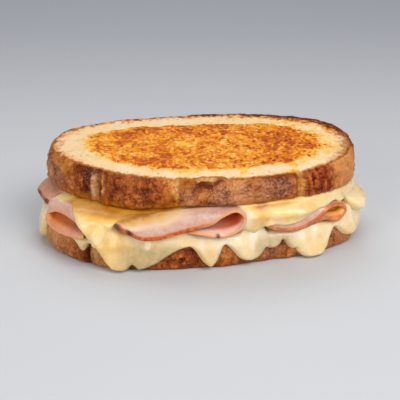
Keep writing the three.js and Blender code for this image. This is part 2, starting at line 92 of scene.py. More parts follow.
# Slices of ham. rim is the way of the edge that shows, turn the side to which the slice is folded, lift and
# press how far the lip and the tucked part lie under the upper slice. Along the rim, from 0 to 1:
# browned_inside is where the inner face is browned, from the bend, how widely, and how much elsewhere;
# painted_glow_inside is where an orange glow of light through the thin ham is painted on the inner face
# (painted light): from the bend, how widely, between which distances from the rim that begins, and the hue of
# the glow; seared is how dark the rim is from the bend on, and well before it; burnt is a list of (place,
# half width).
HAM = {
    "ham_left": {
        "turn": -1, "lift": 1.7, "press": 5.7,
        "browned_inside": (0, 0.25, 0.3), "painted_glow_inside": (0, 0.5, 0.5, 5, 0.58), "seared": (0.2, 0.2),
        "burnt": [],
        "rim": [
            (-59.5, -46.2, 17), (-61.8, -44.6, 21.3), (-64.4, -41.8, 22.9), (-69.6, -35.7, 24),
            (-75, -30.6, 23.7), (-79, -27.4, 20.8), (-79.8, -28, 17.6), (-77, -32.5, 15.4), (-71, -39.6, 15),
            (-65, -44.6, 15.3), (-59.6, -47.8, 16),
        ],
    },
    "ham_centre": {
        "turn": 1, "lift": 1.7, "press": 4.6,
        "browned_inside": (-0.06, 0.06, 0), "painted_glow_inside": (0.03, 0.17, 1.2, 5.5, 0.16),
        "seared": (0.15, 1), "burnt": [(0.06, 0.012), (0.1, 0.018), (0.16, 0.018), (0.87, 0.01)],
        "rim": [
            (-49.5, -45.5, 27), (-46.5, -49.8, 25.4), (-43, -52.6, 24), (-38.3, -54.8, 22.2),
            (-31, -57, 19.3), (-23, -57.3, 19.3), (-11, -56.4, 22.2), (-1, -55.4, 24.8), (5.5, -54.2, 26.6),
            (11, -52.4, 29.8), (17.4, -50.6, 31.5), (21.4, -50.8, 28.2), (20.8, -51.6, 24.2),
            (17, -51.8, 20.8), (9.7, -53.3, 18.9), (0.8, -55, 20.8), (-6.5, -53.6, 21.4),
        ],
    },
    "ham_right": {
        "turn": 1, "lift": 6.4, "press": 4.6,
        "browned_inside": (0, 0.16, 0.3), "painted_glow_inside": (0, 0.3, 0.4, 2.5, 1), "seared": (0.75, 0.75),
        "burnt": [],
        "rim": [
            (32.5, -46.4, 21.8), (37, -44.8, 19.5), (44.4, -42.3, 18.2), (50, -40.4, 18.2), (55, -38, 20),
            (59.5, -35.8, 22.2), (64, -33, 25.4), (68, -29.6, 26.4), (72.2, -25.6, 24.4),
            (74.2, -23.8, 20.8), (71.4, -27, 18.2), (66.8, -30.2, 18.8), (62.5, -32.2, 20),
            (56, -34.5, 17.6), (50, -37.5, 16.4),
        ],
    },
}
HAM_END = {
    "press": 2.9, "seared": (0.75, 0.75),
    "rim": [
        (-79.8, -13.5, 20.4), (-82.4, -9.5, 20.8), (-85.2, -3, 21.2), (-87.2, 3.6, 21.8), (-85.6, 9.4, 22.6),
        (-79.5, 14, 23.6),
    ],
}

# ---- Dressing: what the solids leave out ----
# Ridges where the crust has split and folded: (place, height, half width before, half width after, lean).
# Lean is how far a ridge moves along the outline from the slice's top to its underside.
UPPER_RIDGES = [
    (38.5, 0.9, 3.2, 2.2, 1), (52.5, 0.9, 2.2, 3, 4), (86.5, 0.9, 5, 1.5, 5), (152.6, 1.0, 5, 0.9, 0),
    (161, 1.0, 1.3, 1.0, 1.5), (165.5, 1.1, 1.6, 0.9, 3), (170, 0.9, 1.5, 1.0, 3), (175, 1.0, 1.8, 1.4, 2),
    (58, 0.5, 3, 1.2, -2), (66, 0.5, 2.4, 1.2, 3), (73, 0.5, 2, 1.4, 2), (131, 0.5, 2, 2, -3),
    (141, 0.4, 3, 1.4, -4), (183, 0.5, 2, 1, 2), (14, 0.5, 3, 1.6, 1), (25, 0.4, 2, 1.4, -1),
    (243, 0.8, 4, 1.2, -2), (259, 0.7, 1.6, 2.4, 2), (323, 0.8, 4, 1.4, 3), (398, 0.7, 3, 1.6, -2),
]
LOWER_RIDGES = [
    (50.5, 0.7, 2.4, 1.6, 1), (61, 0.5, 1.6, 3, -1), (97, 0.5, 4, 2, 2), (146, 0.6, 3, 1.2, 1),
    (256, 0.6, 3.4, 1.2, -1), (345, 0.5, 3, 1.6, 1),
]
RIM_DROP = 1.2  # how much lower the rim of the toasted face is than its middle
HALF_DEPTH = 50  # of a slice, from its middle to the crust
FACE_EDGE = 12.0  # rings of a face follow the outline as far in as this, and then shrink to the middle
MM = 0.001

# ---- Fineness of the meshes ----
AROUND = 720  # columns of a slice or a cheese
SKIRT_ROWS = 46
HEM_WINDOW = 12  # columns on each side among which the hem's nearest point is looked for
HAM_COLUMNS = 300
DRAPED_ROWS = 30  # of a folded slice, in front of the bread
EDGE_RINGS = 7  # round the edge of a slice of ham

# ---- Numbers ----


def smooth(edge0, edge1, x):
    share = np.clip((np.asarray(x, float) - edge0) / (edge1 - edge0), 0, 1)
    return share * share * (3 - 2 * share)


def lerp(a, b, share):
    return a + (b - a) * share


def bell(x, width, power=2):
    return np.exp(-np.abs(x / width) ** power)


def smooth_max(a, b, width):
    return np.maximum(a, b) + width * np.log1p(np.exp(-np.abs(a - b) / width))


def rounding(distance, radius):
    """A quarter circle's way from 0 at an edge to 1 at a radius from it."""
    return np.sqrt(1 - (1 - np.clip(distance / radius, 0, 1)) ** 2)


def point(x, y, z):
    return np.stack(np.broadcast_arrays(x, y, z), -1)


def raised(flat, z):
    """Points at height z over flat points."""
    return point(flat[..., 0], flat[..., 1], z)


def unit(vectors):
    return vectors / np.linalg.norm(vectors, axis=-1, keepdims=True)


def distances_along(rows):
    """How far each of the rows of points lies from the first one, from row to row."""
    steps = np.linalg.norm(np.diff(rows, axis=0), axis=-1)
    return np.concatenate([np.zeros((1, *steps.shape[1:])), np.cumsum(steps, axis=0)])


def between(x, places, points, **settings):
    """Points that are given at places, interpolated at x."""
    return np.stack([np.interp(x, places, column, **settings) for column in points.T], -1)


def through(knots, x):
    """A smooth curve through (x, y) knots."""
    places, heights = np.array(knots, float).T
    x = np.clip(x, places[0], places[-1])
    i = np.clip(np.searchsorted(places, x, side="right") - 1, 0, len(places) - 2)
    return lerp(heights[i], heights[i + 1], smooth(places[i], places[i + 1], x))


def underside_at(x):
    return through(UNDERSIDE, x)


LATTICE = 32
SEED_STEP = 5.37  # lattice cells from one seed's noise to the next
PIT_SEED_STEP = 3.1
_random = np.random.default_rng(11)
GRADIENTS = unit(_random.normal(size=(LATTICE, LATTICE, LATTICE, 3)))
JITTER = _random.random((LATTICE, LATTICE, LATTICE, 3))


def noise(points, size, seed=0):
    """Smooth noise from about -1 to 1 with lumps of that size, one number or one for each axis."""
    scaled = points / np.asarray(size, float) + seed * SEED_STEP
    cell = np.floor(scaled).astype(int)
    part = scaled - cell
    ease = part**3 * (part * (6 * part - 15) + 10)
    total = np.zeros(points.shape[:-1])
    for corner in itertools.product((0, 1), repeat=3):
        x, y, z = np.moveaxis((cell + corner) % LATTICE, -1, 0)
        weight = np.prod(np.where(corner, ease, 1 - ease), axis=-1)
        total += weight * ((part - corner) * GRADIENTS[x, y, z]).sum(-1)
    return 2 * total


def pits(points, spacing, radius, share, seed):
    """1 at the middle of round pits and 0 outside them; share of the scattered places have one."""
    scaled = points / spacing + seed * PIT_SEED_STEP
    cell = np.floor(scaled).astype(int)
    nearest = np.full(points.shape[:-1], 9.0)
    number = np.zeros(points.shape[:-1])
    for shift in itertools.product((-1, 0, 1), repeat=3):
        x, y, z = np.moveaxis((cell + shift) % LATTICE, -1, 0)
        distance = np.linalg.norm(scaled - cell - shift - JITTER[x, y, z], axis=-1)
        closer = distance < nearest
        nearest = np.where(closer, distance, nearest)
        number = np.where(closer, JITTER[(x + 7) % LATTICE, y, z, 0], number)
    size = radius * (0.5 + number / share)
    return np.where(number < share, smooth(1, 0.3, nearest * spacing / size), 0)


# ---- Outlines ----


def cubic(a, b, start, end, t):
    """Points from a to b of a curve with these tangents at its ends, and the tangents there."""
    turn = 3 * (b - a) - 2 * start - end
    twist = 2 * (a - b) + start + end
    return a + start * t + turn * t**2 + twist * t**3, start + 2 * turn * t + 3 * twist * t**2


class Rim:
    """A closed outline. A place on it, s, is the distance along it."""

    STEPS = 120

    def __init__(self, corners):
        b = np.array(corners, float)
        a, c, d = (np.roll(b, shift, axis=0) for shift in (1, -1, -2))
        t = (np.arange(self.STEPS) / self.STEPS)[:, None, None]
        made = cubic(b, c, (c - a) / 2, (d - b) / 2, t)
        points, tangents = (v.transpose(1, 0, 2).reshape(-1, 2) for v in made)
        normals = unit(tangents)[:, ::-1] * (1, -1)
        self.points, self.normals = (np.vstack([v, v[:1]]) for v in (points, normals))
        self.places = distances_along(self.points)
        self.length = self.places[-1]

    def columns(self):
        """The places of a mesh's columns round the outline."""
        return np.arange(AROUND) / AROUND * self.length

    def at(self, s, out=0.0):
        """The outline's points at s, moved outwards by out."""
        s, out = np.broadcast_arrays(np.mod(s, self.length), out)
        start, outwards = (between(s, self.places, rows) for rows in (self.points, self.normals))
        return start + outwards * out[..., None]

    def offset(self, s, place):
        """How far s is past a place, the short way round."""
        return np.mod(s - place + self.length / 2, self.length) - self.length / 2

    def relative(self, s, place, before, after):
        """The offset as a share of the half width on its own side of the place."""
        offset = self.offset(s, place)
        return offset / np.where(offset < 0, before, after)

    def near(self, s, place, width, power=2):
        return bell(self.offset(s, place), width, power)

    def span(self, s, start, end, soft):
        """1 between two places and 0 outside, with soft edges."""
        half = np.mod(end - start, self.length) / 2
        return 1 - smooth(half - soft, half + soft, np.abs(self.offset(s, start + half)))

    def spans(self, s, *stretches):
        """The sum of stretches, each given as (strength, start, end, softness of its ends)."""
        return sum(strength * self.span(s, *stretch) for strength, *stretch in stretches)


upper_rim = Rim(UPPER_OUTLINE)
lower_rim = Rim(LOWER_OUTLINE)


def path_through(knots, count):
    """Evenly spaced points along a centripetal curve through the knots."""
    p = np.array(knots, float)
    p = np.vstack([2 * p[0] - p[1], p, 2 * p[-1] - p[-2]])
    t = np.linspace(0, 1, 60, endpoint=False)[:, None]
    pieces = []
    for a, b, c, d in zip(p, p[1:], p[2:], p[3:]):
        before, here, after = (np.sqrt(np.linalg.norm(step)) for step in (b - a, c - b, d - c))
        start = ((b - a) / before - (c - a) / (before + here) + (c - b) / here) * here
        end = ((c - b) / here - (d - b) / (here + after) + (d - c) / after) * here
        pieces.append(cubic(b, c, start, end, t)[0])
    curve = np.vstack(pieces + [p[-2]])
    places = distances_along(curve)
    return between(np.linspace(0, places[-1], count), places, curve)


# ---- Meshes ----


def smooth_mesh(name, points, faces, material):
    mesh = bpy.data.meshes.new(name)
    mesh.from_pydata(points, [], faces)
    mesh.shade_smooth()
    mesh.materials.append(material)
    return mesh


def added(name, data):
    """A new object in the scene."""
    made = bpy.data.objects.new(name, data)
    bpy.context.scene.collection.objects.link(made)
    return made


def ring_piece(name, rings, values, material):
    """A closed smooth piece from rings of equal count, shape (rings, around, 3), capped at both ends. values
    are the point attributes that its material reads. It replaces the solid of the same name."""
    count, around = rings.shape[:2]
    points = np.vstack([rings.reshape(-1, 3), rings[0].mean(0), rings[-1].mean(0)]) * MM
    index = np.arange(count * around).reshape(count, around)
    near, far = index[:-1], index[1:]
    quads = np.stack([near, np.roll(near, -1, 1), np.roll(far, -1, 1), far], -1).reshape(-1, 4)
    first, last = index[0], index[-1]
    caps = np.vstack([
        np.column_stack([np.full(around, count * around), np.roll(first, -1), first]),
        np.column_stack([np.full(around, count * around + 1), last, np.roll(last, -1)]),
    ])
    a, b, c, d = (points[quads[:, i]] for i in range(4))
    volume = (np.cross(a, b) * c).sum() + (np.cross(a, c) * d).sum()
    if volume < 0:
        quads, caps = quads[:, ::-1], caps[:, ::-1]
    mesh = smooth_mesh(name, points.tolist(), quads.tolist() + caps.tolist(), material)
    for key, value in values.items():
        value = np.broadcast_to(value, (count, around))
        flat = np.concatenate([value.ravel(), [value[0].mean(), value[-1].mean()]])
        mesh.attributes.new(key, "FLOAT", "POINT").data.foreach_set("value", flat.astype(np.float32))
    piece = added(name + "_dressed", mesh)
    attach(piece, "root")
    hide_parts(name)


# ---- Materials: colours are (red, green, blue) as they look on a screen, from 0 to 255 ----


def linear_colour(*shades):
    shades = [c / 255 for c in shades]
    return *(c / 12.92 if c <= 0.04045 else ((c + 0.055) / 1.055) ** 2.4 for c in shades), 1.0


class Value:
    """What a shader node gives, to be reckoned with like a number."""

    def __init__(self, shader, socket):
        self.shader = shader
        self.socket = socket

    def __add__(self, other):
        return self.shader.math("ADD", self, other)

    def __sub__(self, other):
        return self.shader.math("SUBTRACT", self, other)

    def __rsub__(self, other):
        return self.shader.math("SUBTRACT", other, self)

    def __mul__(self, other):
        return self.shader.math("MULTIPLY", self, other)

    __rmul__ = __mul__

    def fade(self, low, high, to_low=0.0, to_high=1.0):
        """The value's way from low to high as a smooth way from to_low to to_high."""
        inputs = {"Value": self, "From Min": low, "From Max": high, "To Min": to_low, "To Max": to_high}
        return self.shader.node("MapRange", "Result", inputs, interpolation_type="SMOOTHSTEP")


class Shader:
    """One Principled material, with short names for the nodes that feed it."""

    def __init__(self, name):
        self.material = bpy.data.materials.new(name)
        self.material.use_nodes = True
        self.tree = self.material.node_tree
        self.place = self.node("TexCoord", "Object", {})

    def feed(self, socket, value):
        """Link a value to a socket, or set the socket to a number or a tuple."""
        if isinstance(value, Value):
            self.tree.links.new(value.socket, socket)
        else:
            socket.default_value = value

    def node(self, kind, output, inputs, **settings):
        made = self.tree.nodes.new("ShaderNode" + kind)
        for key, value in settings.items():
            setattr(made, key, value)
        for key, value in inputs.items():
            self.feed(made.inputs[key], value)
        return Value(self, made.outputs[output])

    def values(self, names):
        """The mesh's attributes of these names."""
        return [self.node("Attribute", "Fac", {}, attribute_name=name) for name in names.split()]

    def stretched(self, x, y, z):
        return self.node("Mapping", "Vector", {"Vector": self.place, "Scale": (x, y, z)})

    def noise(self, size, detail=3.0, distortion=0.0, place=None, roughness=0.55):
        """Noise with lumps of size millimetres, from 0 to 1 about a half."""
        return self.node("TexNoise", "Fac", {
            "Vector": place or self.place, "Scale": 1000 / size, "Detail": detail, "Distortion": distortion,
            "Roughness": roughness,
        })

    def dots(self, size, inside, outside, place=None):
        """Round dots about size millimetres apart, 1 inside and 0 outside these shares of the size."""
        cells = self.node("TexVoronoi", "Distance", {"Vector": place or self.place, "Scale": 1000 / size})
        return cells.fade(inside, outside, 1, 0)

    def math(self, operation, a, b):
        return self.node("Math", 0, {0: a, 1: b}, operation=operation)

    def mix(self, share, a, b):
        """a covered with a share of b, each a value or a colour."""
        a, b = (shade if isinstance(shade, Value) else linear_colour(*shade) for shade in (a, b))
        return self.node("Mix", 2, {0: share, 6: a, 7: b}, data_type="RGBA")

    def layers(self, base, *covers):
        """base under covers, each given as (share, value or colour)."""
        for share, shade in covers:
            base = self.mix(share, base, shade)
        return base

    def ramp(self, value, *stops):
        """The colour for a value, between stops given as (position, red, green, blue)."""
        made = self.tree.nodes.new("ShaderNodeValToRGB")
        self.feed(made.inputs["Fac"], value)
        elements = made.color_ramp.elements
        for _ in stops[2:]:
            elements.new(0.5)
        for element, (position, *shades) in zip(elements, stops):
            element.position = position
            element.color = linear_colour(*shades)
        return Value(self, made.outputs["Color"])

    def bump(self, height, distance, strength):
        inputs = {"Height": height, "Distance": distance * MM, "Strength": strength}
        return self.node("Bump", "Normal", inputs)

    def finish(self, **inputs):
        surface = self.tree.nodes["Principled BSDF"]
        for key, value in inputs.items():
            self.feed(surface.inputs[key.replace("_", " ")], value)
        return self.material


def bread_material():
    """Crust on the side and crumb on the faces, which face tells apart; toast browns the crumb."""
    s = Shader("bread")
    face, pale, red, flour, soak, toast, rim = s.values("face pale red flour soak toast rim")
    relief, tint, streaky, back = s.values("relief tint streaky back")
    wide, middle, fine = s.noise(14, 2, 0.6), s.noise(4.5, 3, 0.8), s.noise(1.3, 3)
    tall = s.noise(3.4, 4, 1.0, s.stretched(1, 1, 0.55), 0.6)
    wrinkle = s.noise(1.4, 2, 2.4, s.stretched(1, 1, 0.6))

    # Crust: baked brown and mottled, with wrinkles, red folds, pale scars, flour, soaked fat and specks. It
    # is darker in creases and paler on ridges of the relief: partly wear, partly painted shade and painted
    # highlight.
    tone = 0.7 * wide + 0.55 * middle + 0.34 * tall + 0.24 * fine + 0.07 * relief + 0.26 * tint
    folds = tall + 0.4 * fine
    dust = 0.75 * flour * (0.6 * fine + 0.4 * middle).fade(0.36, 0.6)
    wet = soak * (middle + 0.4 * fine).fade(0.4, 0.85, 0.35, 1)
    baked = s.ramp(
        tone.fade(0.6, 1.3), (0, 74, 26, 2), (0.28, 120, 52, 8), (0.55, 158, 82, 24), (1, 222, 146, 76))
    crust = s.layers(
        baked,
        (wrinkle.fade(0.54, 0.66, 0, 0.5), (212, 140, 84)),
        (wrinkle.fade(0.46, 0.34, 0, 0.4), (86, 32, 6)),
        (red * middle.fade(0.3, 0.6, 0.55, 1), s.ramp(
            (folds + 0.12 * relief).fade(0.45, 1), (0, 66, 12, 2), (0.45, 132, 46, 8), (1, 204, 108, 44))),
        (pale * middle.fade(0.28, 0.5, 0.6, 1), s.ramp(
            folds.fade(0.4, 0.95), (0, 182, 104, 28), (0.5, 230, 160, 72), (1, 248, 212, 152))),
        (dust, s.ramp(fine, (0.3, 172, 114, 80), (0.7, 212, 164, 132))),
        (wet, s.ramp(middle, (0.36, 142, 66, 0), (0.6, 186, 108, 4))),
        (s.dots(2.2, 0.1, 0.24) * wide.fade(0.45, 0.6, 0, 0.5), (228, 172, 116)),
    )

    # Crumb: pale where it is not toasted, and fried golden with darker dots where it touched the pan
    across = s.stretched(1, 0.75, 1)
    mottle = s.noise(3.8, 5, 1.1, across, 0.66)
    grain, clouds = s.noise(1.7, 3, 0.4, across), s.noise(13, 3, 0.6, across)
    speckle, patches = s.noise(2.4, 3, place=across), s.noise(6, 2, place=across)
    toast = toast.fade(0, 0.2) * (toast + 0.9 * mottle + 0.5 * clouds + 0.6 * grain).fade(1.1, 1.86)
    light = s.dots(2.4, 0.16, 0.5, across) * s.noise(6, 2).fade(0.4, 0.6, 0.2, 1)
    dark_dots = s.dots(3.3, 0.14, 0.42, across) * s.noise(7, 2).fade(0.38, 0.55)
    patch = 0.34 * mottle.fade(0.34, 0.68) + 0.18 * clouds.fade(0.34, 0.66) + 0.5 * grain
    patch = patch - 0.26 * light + dark_dots * (0.24 * tint - 0.28 * streaky + 0.4) + 0.12 * tint + 0.02
    edge = 0.8 * toast * (1 - toast) * back
    heat = toast * (patch + edge) + 0.05 * clouds.fade(0.4, 0.62)
    cream = grain.fade(0.5, 0.72, 0, 0.46) * heat.fade(0.46, 0.7, 1, 0)
    rind = (0.6 * mottle + 0.4 * grain).fade(0.42, 0.6) * toast.fade(0, 0.3, 0.45, 0)
    pores = s.dots(2.7, 0.12, 0.28) * s.noise(7, 1).fade(0.5, 0.62) * (0.75 * (1 - toast))
    scorch = rim - 10 * patches - 9 * speckle + 2.4 * streaky + 3.4
    burnt = s.ramp(0.5 * middle + 0.5 * fine, (0.38, 60, 22, 4), (0.5, 104, 46, 10), (0.64, 176, 96, 30))
    fried = s.ramp(
        heat, (0, 242, 215, 178), (0.09, 244, 208, 140), (0.26, 246, 184, 66), (0.44, 238, 146, 12),
        (0.6, 216, 110, 2), (0.76, 176, 78, 4), (1, 128, 52, 4))
    crumb = s.layers(
        fried,
        (cream, (252, 226, 166)),
        (rind, (232, 186, 128)),
        (pores, (170, 86, 14)),
        ((rim - 3.2 * speckle).fade(-1, 0.9, 1, 0), s.ramp(fine, (0.3, 150, 72, 14), (0.7, 222, 142, 58))),
        (back * scorch.fade(-1, 3, 1, 0), s.ramp(speckle, (0.4, 234, 162, 76), (0.6, 192, 102, 22))),
        (back * scorch.fade(-3.8, -1, 1, 0), burnt),
    )

    on_crust = 1 - face
    bumps = 0.6 * fine + 0.3 * s.noise(0.5, 2) + 0.9 * tall * on_crust + 0.7 * wrinkle * on_crust
    bumps = bumps - 0.5 * mottle * toast + (0.5 * grain + 0.3 * light) * face
    rough = s.mix(face, (middle - 0.6 * wet).fade(0, 0.9, 0.22, 0.44), heat.fade(0, 1, 0.8, 0.5))
    return s.finish(
        Base_Color=s.mix(face, crust, crumb), Roughness=rough,
        Normal=s.bump(bumps * (1 - 0.4 * face), 0.45, 0.9), Specular_IOR_Level=0.12,
        Subsurface_Weight=0.05, Subsurface_Scale=1.5 * MM,
    )


def cheese_material(name, *stops):
    """Melted cheese: cream to butter yellow by the attribute butter, whitish where milky fat shows and with
    painted highlight on its folds and shoulders, amber and duller where oily fat has soaked it, and greyer
    where it is so thin that the crust shows through. On the lower cheese under the ham's rim the amber and
    the greyer colours are painted shade."""
    s = Shader(name)
    butter, milk, clear, oil = s.values("butter milk clear oil")
    broad = s.noise(4, 2, 0.6)
    clouds = 0.65 * s.noise(12, 2, 0.4) + 0.35 * broad
    oil = oil * s.noise(11, 2).fade(0.25, 0.7, 0.8, 1)
    base = s.layers(
        s.ramp(butter + clouds.fade(0.3, 0.7, -0.16, 0.16), *stops),
        # Whitish: partly milky fat, partly painted highlight.
        (milk * broad.fade(0.3, 0.65, 0.4, 0.8), (254, 246, 230)),
        # Greyer: thin cheese over the crust, and painted shade under the ham's rim on the lower cheese.
        (clear * broad.fade(0.25, 0.7, 0.7, 1), (190, 164, 108)),
        # Amber: oily fat, and painted shade under the ham's rim on the lower cheese.
        (oil, s.ramp(oil, (0.2, 243, 196, 94), (0.6, 238, 180, 64), (1, 198, 130, 28))),
    )
    return s.finish(
        Base_Color=base, Roughness=s.noise(5, 2).fade(0.3, 0.7, 0.22, 0.36),
        Normal=s.bump(s.noise(4, 2) + 0.1 * s.noise(1.2, 2), 0.12, 0.5),
        Coat_Weight=oil.fade(0, 0.5, 0.8, 0.1), Coat_Roughness=0.13, Specular_IOR_Level=0.5,
        Subsurface_Weight=0.5, Subsurface_Scale=2.6 * MM, Subsurface_Radius=(1.0, 0.78, 0.5),
    )


# The lower cheese is the same cheese as the upper one: the first colours are darker than the second's, as
# painted shade where it lies under the ham and the crust, and partly for its translucent look.
SHADED_TRANSLUCENT_CHEESE = [(0, 246, 226, 190), (0.35, 246, 214, 156), (0.7, 244, 200, 114), (1, 236, 172, 66)]
YELLOW = [(0, 254, 234, 204), (0.35, 255, 226, 176), (0.7, 254, 208, 128), (1, 246, 182, 72)]


def ham_material():
    """Cooked ham: pink, faintly marbled, browned at the rim, with a film of fat that darkens to amber near
    the bread as painted shade. Inside a fold the lower lip is made paler as painted light, and an orange glow
    of light through the thin ham is painted deeper in.
    """
    s = Shader("ham")
    rim, inside, glaze, char = s.values("rim inside glaze char")
    fresh, deep, glow, seared = s.values("fresh deep glow seared")
    marbling = 0.6 * s.noise(5, 3, 0.6) + 0.4 * s.noise(1.6, 3, 0.4)
    film = glaze * s.noise(6, 2).fade(0.2, 0.8, 0.75, 1.15)
    # Its darkest amber end is painted shade, where the crust overhangs the ham.
    fat = s.ramp(film, (0, 228, 192, 168), (0.4, 234, 200, 162), (0.75, 226, 176, 104), (1, 184, 120, 34))
    edge = rim + 1.1 * s.noise(3.5, 2) - 0.55
    browned = edge.fade(0.4, 1.5, 1, 0)
    brown = s.ramp(s.noise(2.5, 2), (0.3, 164, 60, 0), (0.5, 202, 90, 6), (0.7, 226, 128, 38))
    flesh = s.layers(
        s.ramp(marbling, (0.36, 202, 152, 134), (0.5, 213, 171, 152), (0.64, 224, 192, 178)),
        (film.fade(0, 0.4), fat),
        # Painted light: the shaded inner face of a fold's lower lip made paler.
        (0.8 * fresh, (250, 220, 206)),
        (inside, s.ramp(s.noise(3, 3), (0.3, 202, 108, 54), (0.7, 228, 150, 100))),
        # Painted light: an orange glow of light through the thin ham, painted deep inside a fold.
        (deep, s.ramp(glow, (0, 228, 84, 10), (0.5, 240, 144, 78), (1, 255, 196, 84))),
        (edge.fade(0.8, 3.2, 0.5, 0), (234, 158, 108)),
        (browned, s.mix(seared, (234, 172, 126), brown)),
        (char * edge.fade(0.9, 2, 1, 0), (78, 20, 4)),
    )
    dull = browned.fade(0, 1, 1, 0.35) * char.fade(0, 0.5, 1, 0.1)
    return s.finish(
        Base_Color=flesh, Roughness=s.noise(3, 2).fade(0.3, 0.7, 0.28, 0.42),
        Normal=s.bump(s.noise(1.4, 3) + 0.6 * s.noise(4, 2), 0.25, 0.5),
        Coat_Weight=deep.fade(0, 0.5, 0.4, 0.05) * dull, Coat_Roughness=0.16, Specular_IOR_Level=0.4,
        Subsurface_Weight=0.45, Subsurface_Scale=2 * MM, Subsurface_Radius=(1.0, 0.55, 0.4),
    )


# ---- Bread ----


def crust_relief(rim, s, share, scars, ridges):
    """Lumps, scars and ridges of the crust round a slice."""
    turn = 2 * np.pi * s / rim.length
    relief = 0.45 * np.sin(7 * turn + 0.6) + 0.35 * np.sin(13 * turn + 2.1) + 0.25 * np.sin(23 * turn + 4)
    for place, depth, width in scars:
        relief = relief - depth * rim.near(s, place, width)
    for place, height, before, after, lean in ridges:
        relief = relief + height * bell(rim.relative(s, place + lean * (1 - share), before, after), 1)
    return relief


def slice_rings(rim, scars, ridges, bottom_at, top, toasted_top, hollow):
    """A slice as rings from its underside's middle round the crust to its top's middle. With each ring come
    its places, its share of the height, how far it is in from the crust (below 0 underneath) and its
    relief. face is 1 on the slice's top, -1 on its underside and 0 on the crust."""
    s = rim.columns()
    edge_rise = toasted_top * (
        1.1 * rim.span(s, 104, 117, 1.2) - 1.3 * rim.near(s, 90.5, 2.2)
        - 0.7 * rim.near(s, 155, 1.6) + 0.3 * noise(raised(rim.at(s), 0), 7, 14))

    def ring(share, inset, shrink, face):
        bulge = BULGE * max(0, 1 - ((share - BULGE_MIDDLE) / BULGE_REACH) ** 2) - 1
        curl = 1.2 * (1 - smooth(0, 0.09, share)) + 1.0 * smooth(0.92, 1, share)
        shows = np.interp(share, [0, 0.07, 0.25, 0.75, 0.95, 1], [0.3, 0.8, 1, 1, 0.75, 0.45])
        shows = shows * (1 - smooth(1, 7, inset) if face else 1)
        start = raised(rim.at(s, bulge - curl - inset), share * top)
        relief = crust_relief(rim, s, share, scars, ridges) - hollow(s, share)
        if shows > 0:
            relief = relief + 0.5 * noise(start, 9) + 0.34 * noise(start, 4, 1) + 0.24 * noise(start, 1.7, 2)
            relief = relief + 0.4 * noise(start, (2.4, 2.4, 8), 12) - 0.9 * pits(start, 9, 0.9, 0.25, 3)
        flat = rim.at(s, bulge - curl - inset + relief * shows) * shrink
        centre = raised(flat, 0)
        depth_in = inset + (1 - shrink) * HALF_DEPTH
        drop = RIM_DROP * toasted_top * lerp(0.1, 1, smooth(22, -8, flat[:, 1]))
        if face == 1:
            z = top - drop * (1 - smooth(0, 9, depth_in)) + edge_rise * (1 - smooth(0.5, 3.2, inset))
            z = z + 0.22 * noise(centre, 6, 4) + 0.16 * noise(centre, 2.1, 5)
            z = z - 0.75 * pits(centre, 5.5, 0.9, 0.3, 6) * smooth(0.8, 2.5, depth_in)
            z = z - 0.5 * (1 - smooth(0, 0.9, inset))
        elif face == -1:
            z = bottom_at(flat[:, 0]) + 0.1 * noise(centre, 5, 7) * toasted_top
        else:
            z = lerp(bottom_at(flat[:, 0]), top - drop - 0.5 + edge_rise, share)
        return (
            raised(flat, z), s, np.full(AROUND, share), np.full(AROUND, depth_in * face),
            relief * (face == 0),
        )

    rings = [
        *(ring(0, FACE_EDGE, shrink, -1) for shrink in np.linspace(0.03, 1, 14)[:-1]),
        *(ring(0, inset, 1, -1) for inset in np.arange(FACE_EDGE, 2.6, -1.3)),
        *(ring(share, 0, 1, 0) for share in np.linspace(0, 1, 38)),
        *(ring(1, inset, 1, 1) for inset in (0.15, 0.45, *np.arange(0.9, FACE_EDGE, 0.75))),
        *(ring(1, FACE_EDGE, shrink, 1) for shrink in np.linspace(1, 0.02, 52)),
    ]
    return [np.array(part) for part in zip(*rings)]


def torn_fold(s, share):
    """1 along the fold under the torn lip of the crust in front, which runs down to the left."""
    fold = upper_rim.near(s, 115.5 - 19 * (1 - share), 2.3)
    return fold * smooth(0.5, 0.66, share) * smooth(1.02, 0.94, share)


def torn_hollow(s, share):
    """How deep the crust is sunk under the torn lip."""
    window = upper_rim.span(s, 102.5, 110, 1.2) * smooth(0.62, 0.74, share) * smooth(0.92, 0.84, share)
    return 0.8 * window - 0.5 * torn_fold(s, share)


def pore(s, share):
    """The one deep pore of the lower crust in front."""
    up = (share - 0.36) * LOWER_SLICE_TOP
    return 1.8 * np.exp(-(lower_rim.offset(s, 102.5) ** 2 + up**2) / 0.8)


# Darker and paler places of the toasted face: (x, y, half width, half depth, strength)
SCORCHED = [
    (-26, 17, 30, 7, 0.8), (39, 6, 18, 13, 0.9), (16, -26, 9, 5, 0.7), (-45, -8, 12, 5, 0.6),
    (0, -6, 20, 12, -0.8), (-40, 4, 14, 5, -0.5), (12, 8, 8, 6, -0.6),
]


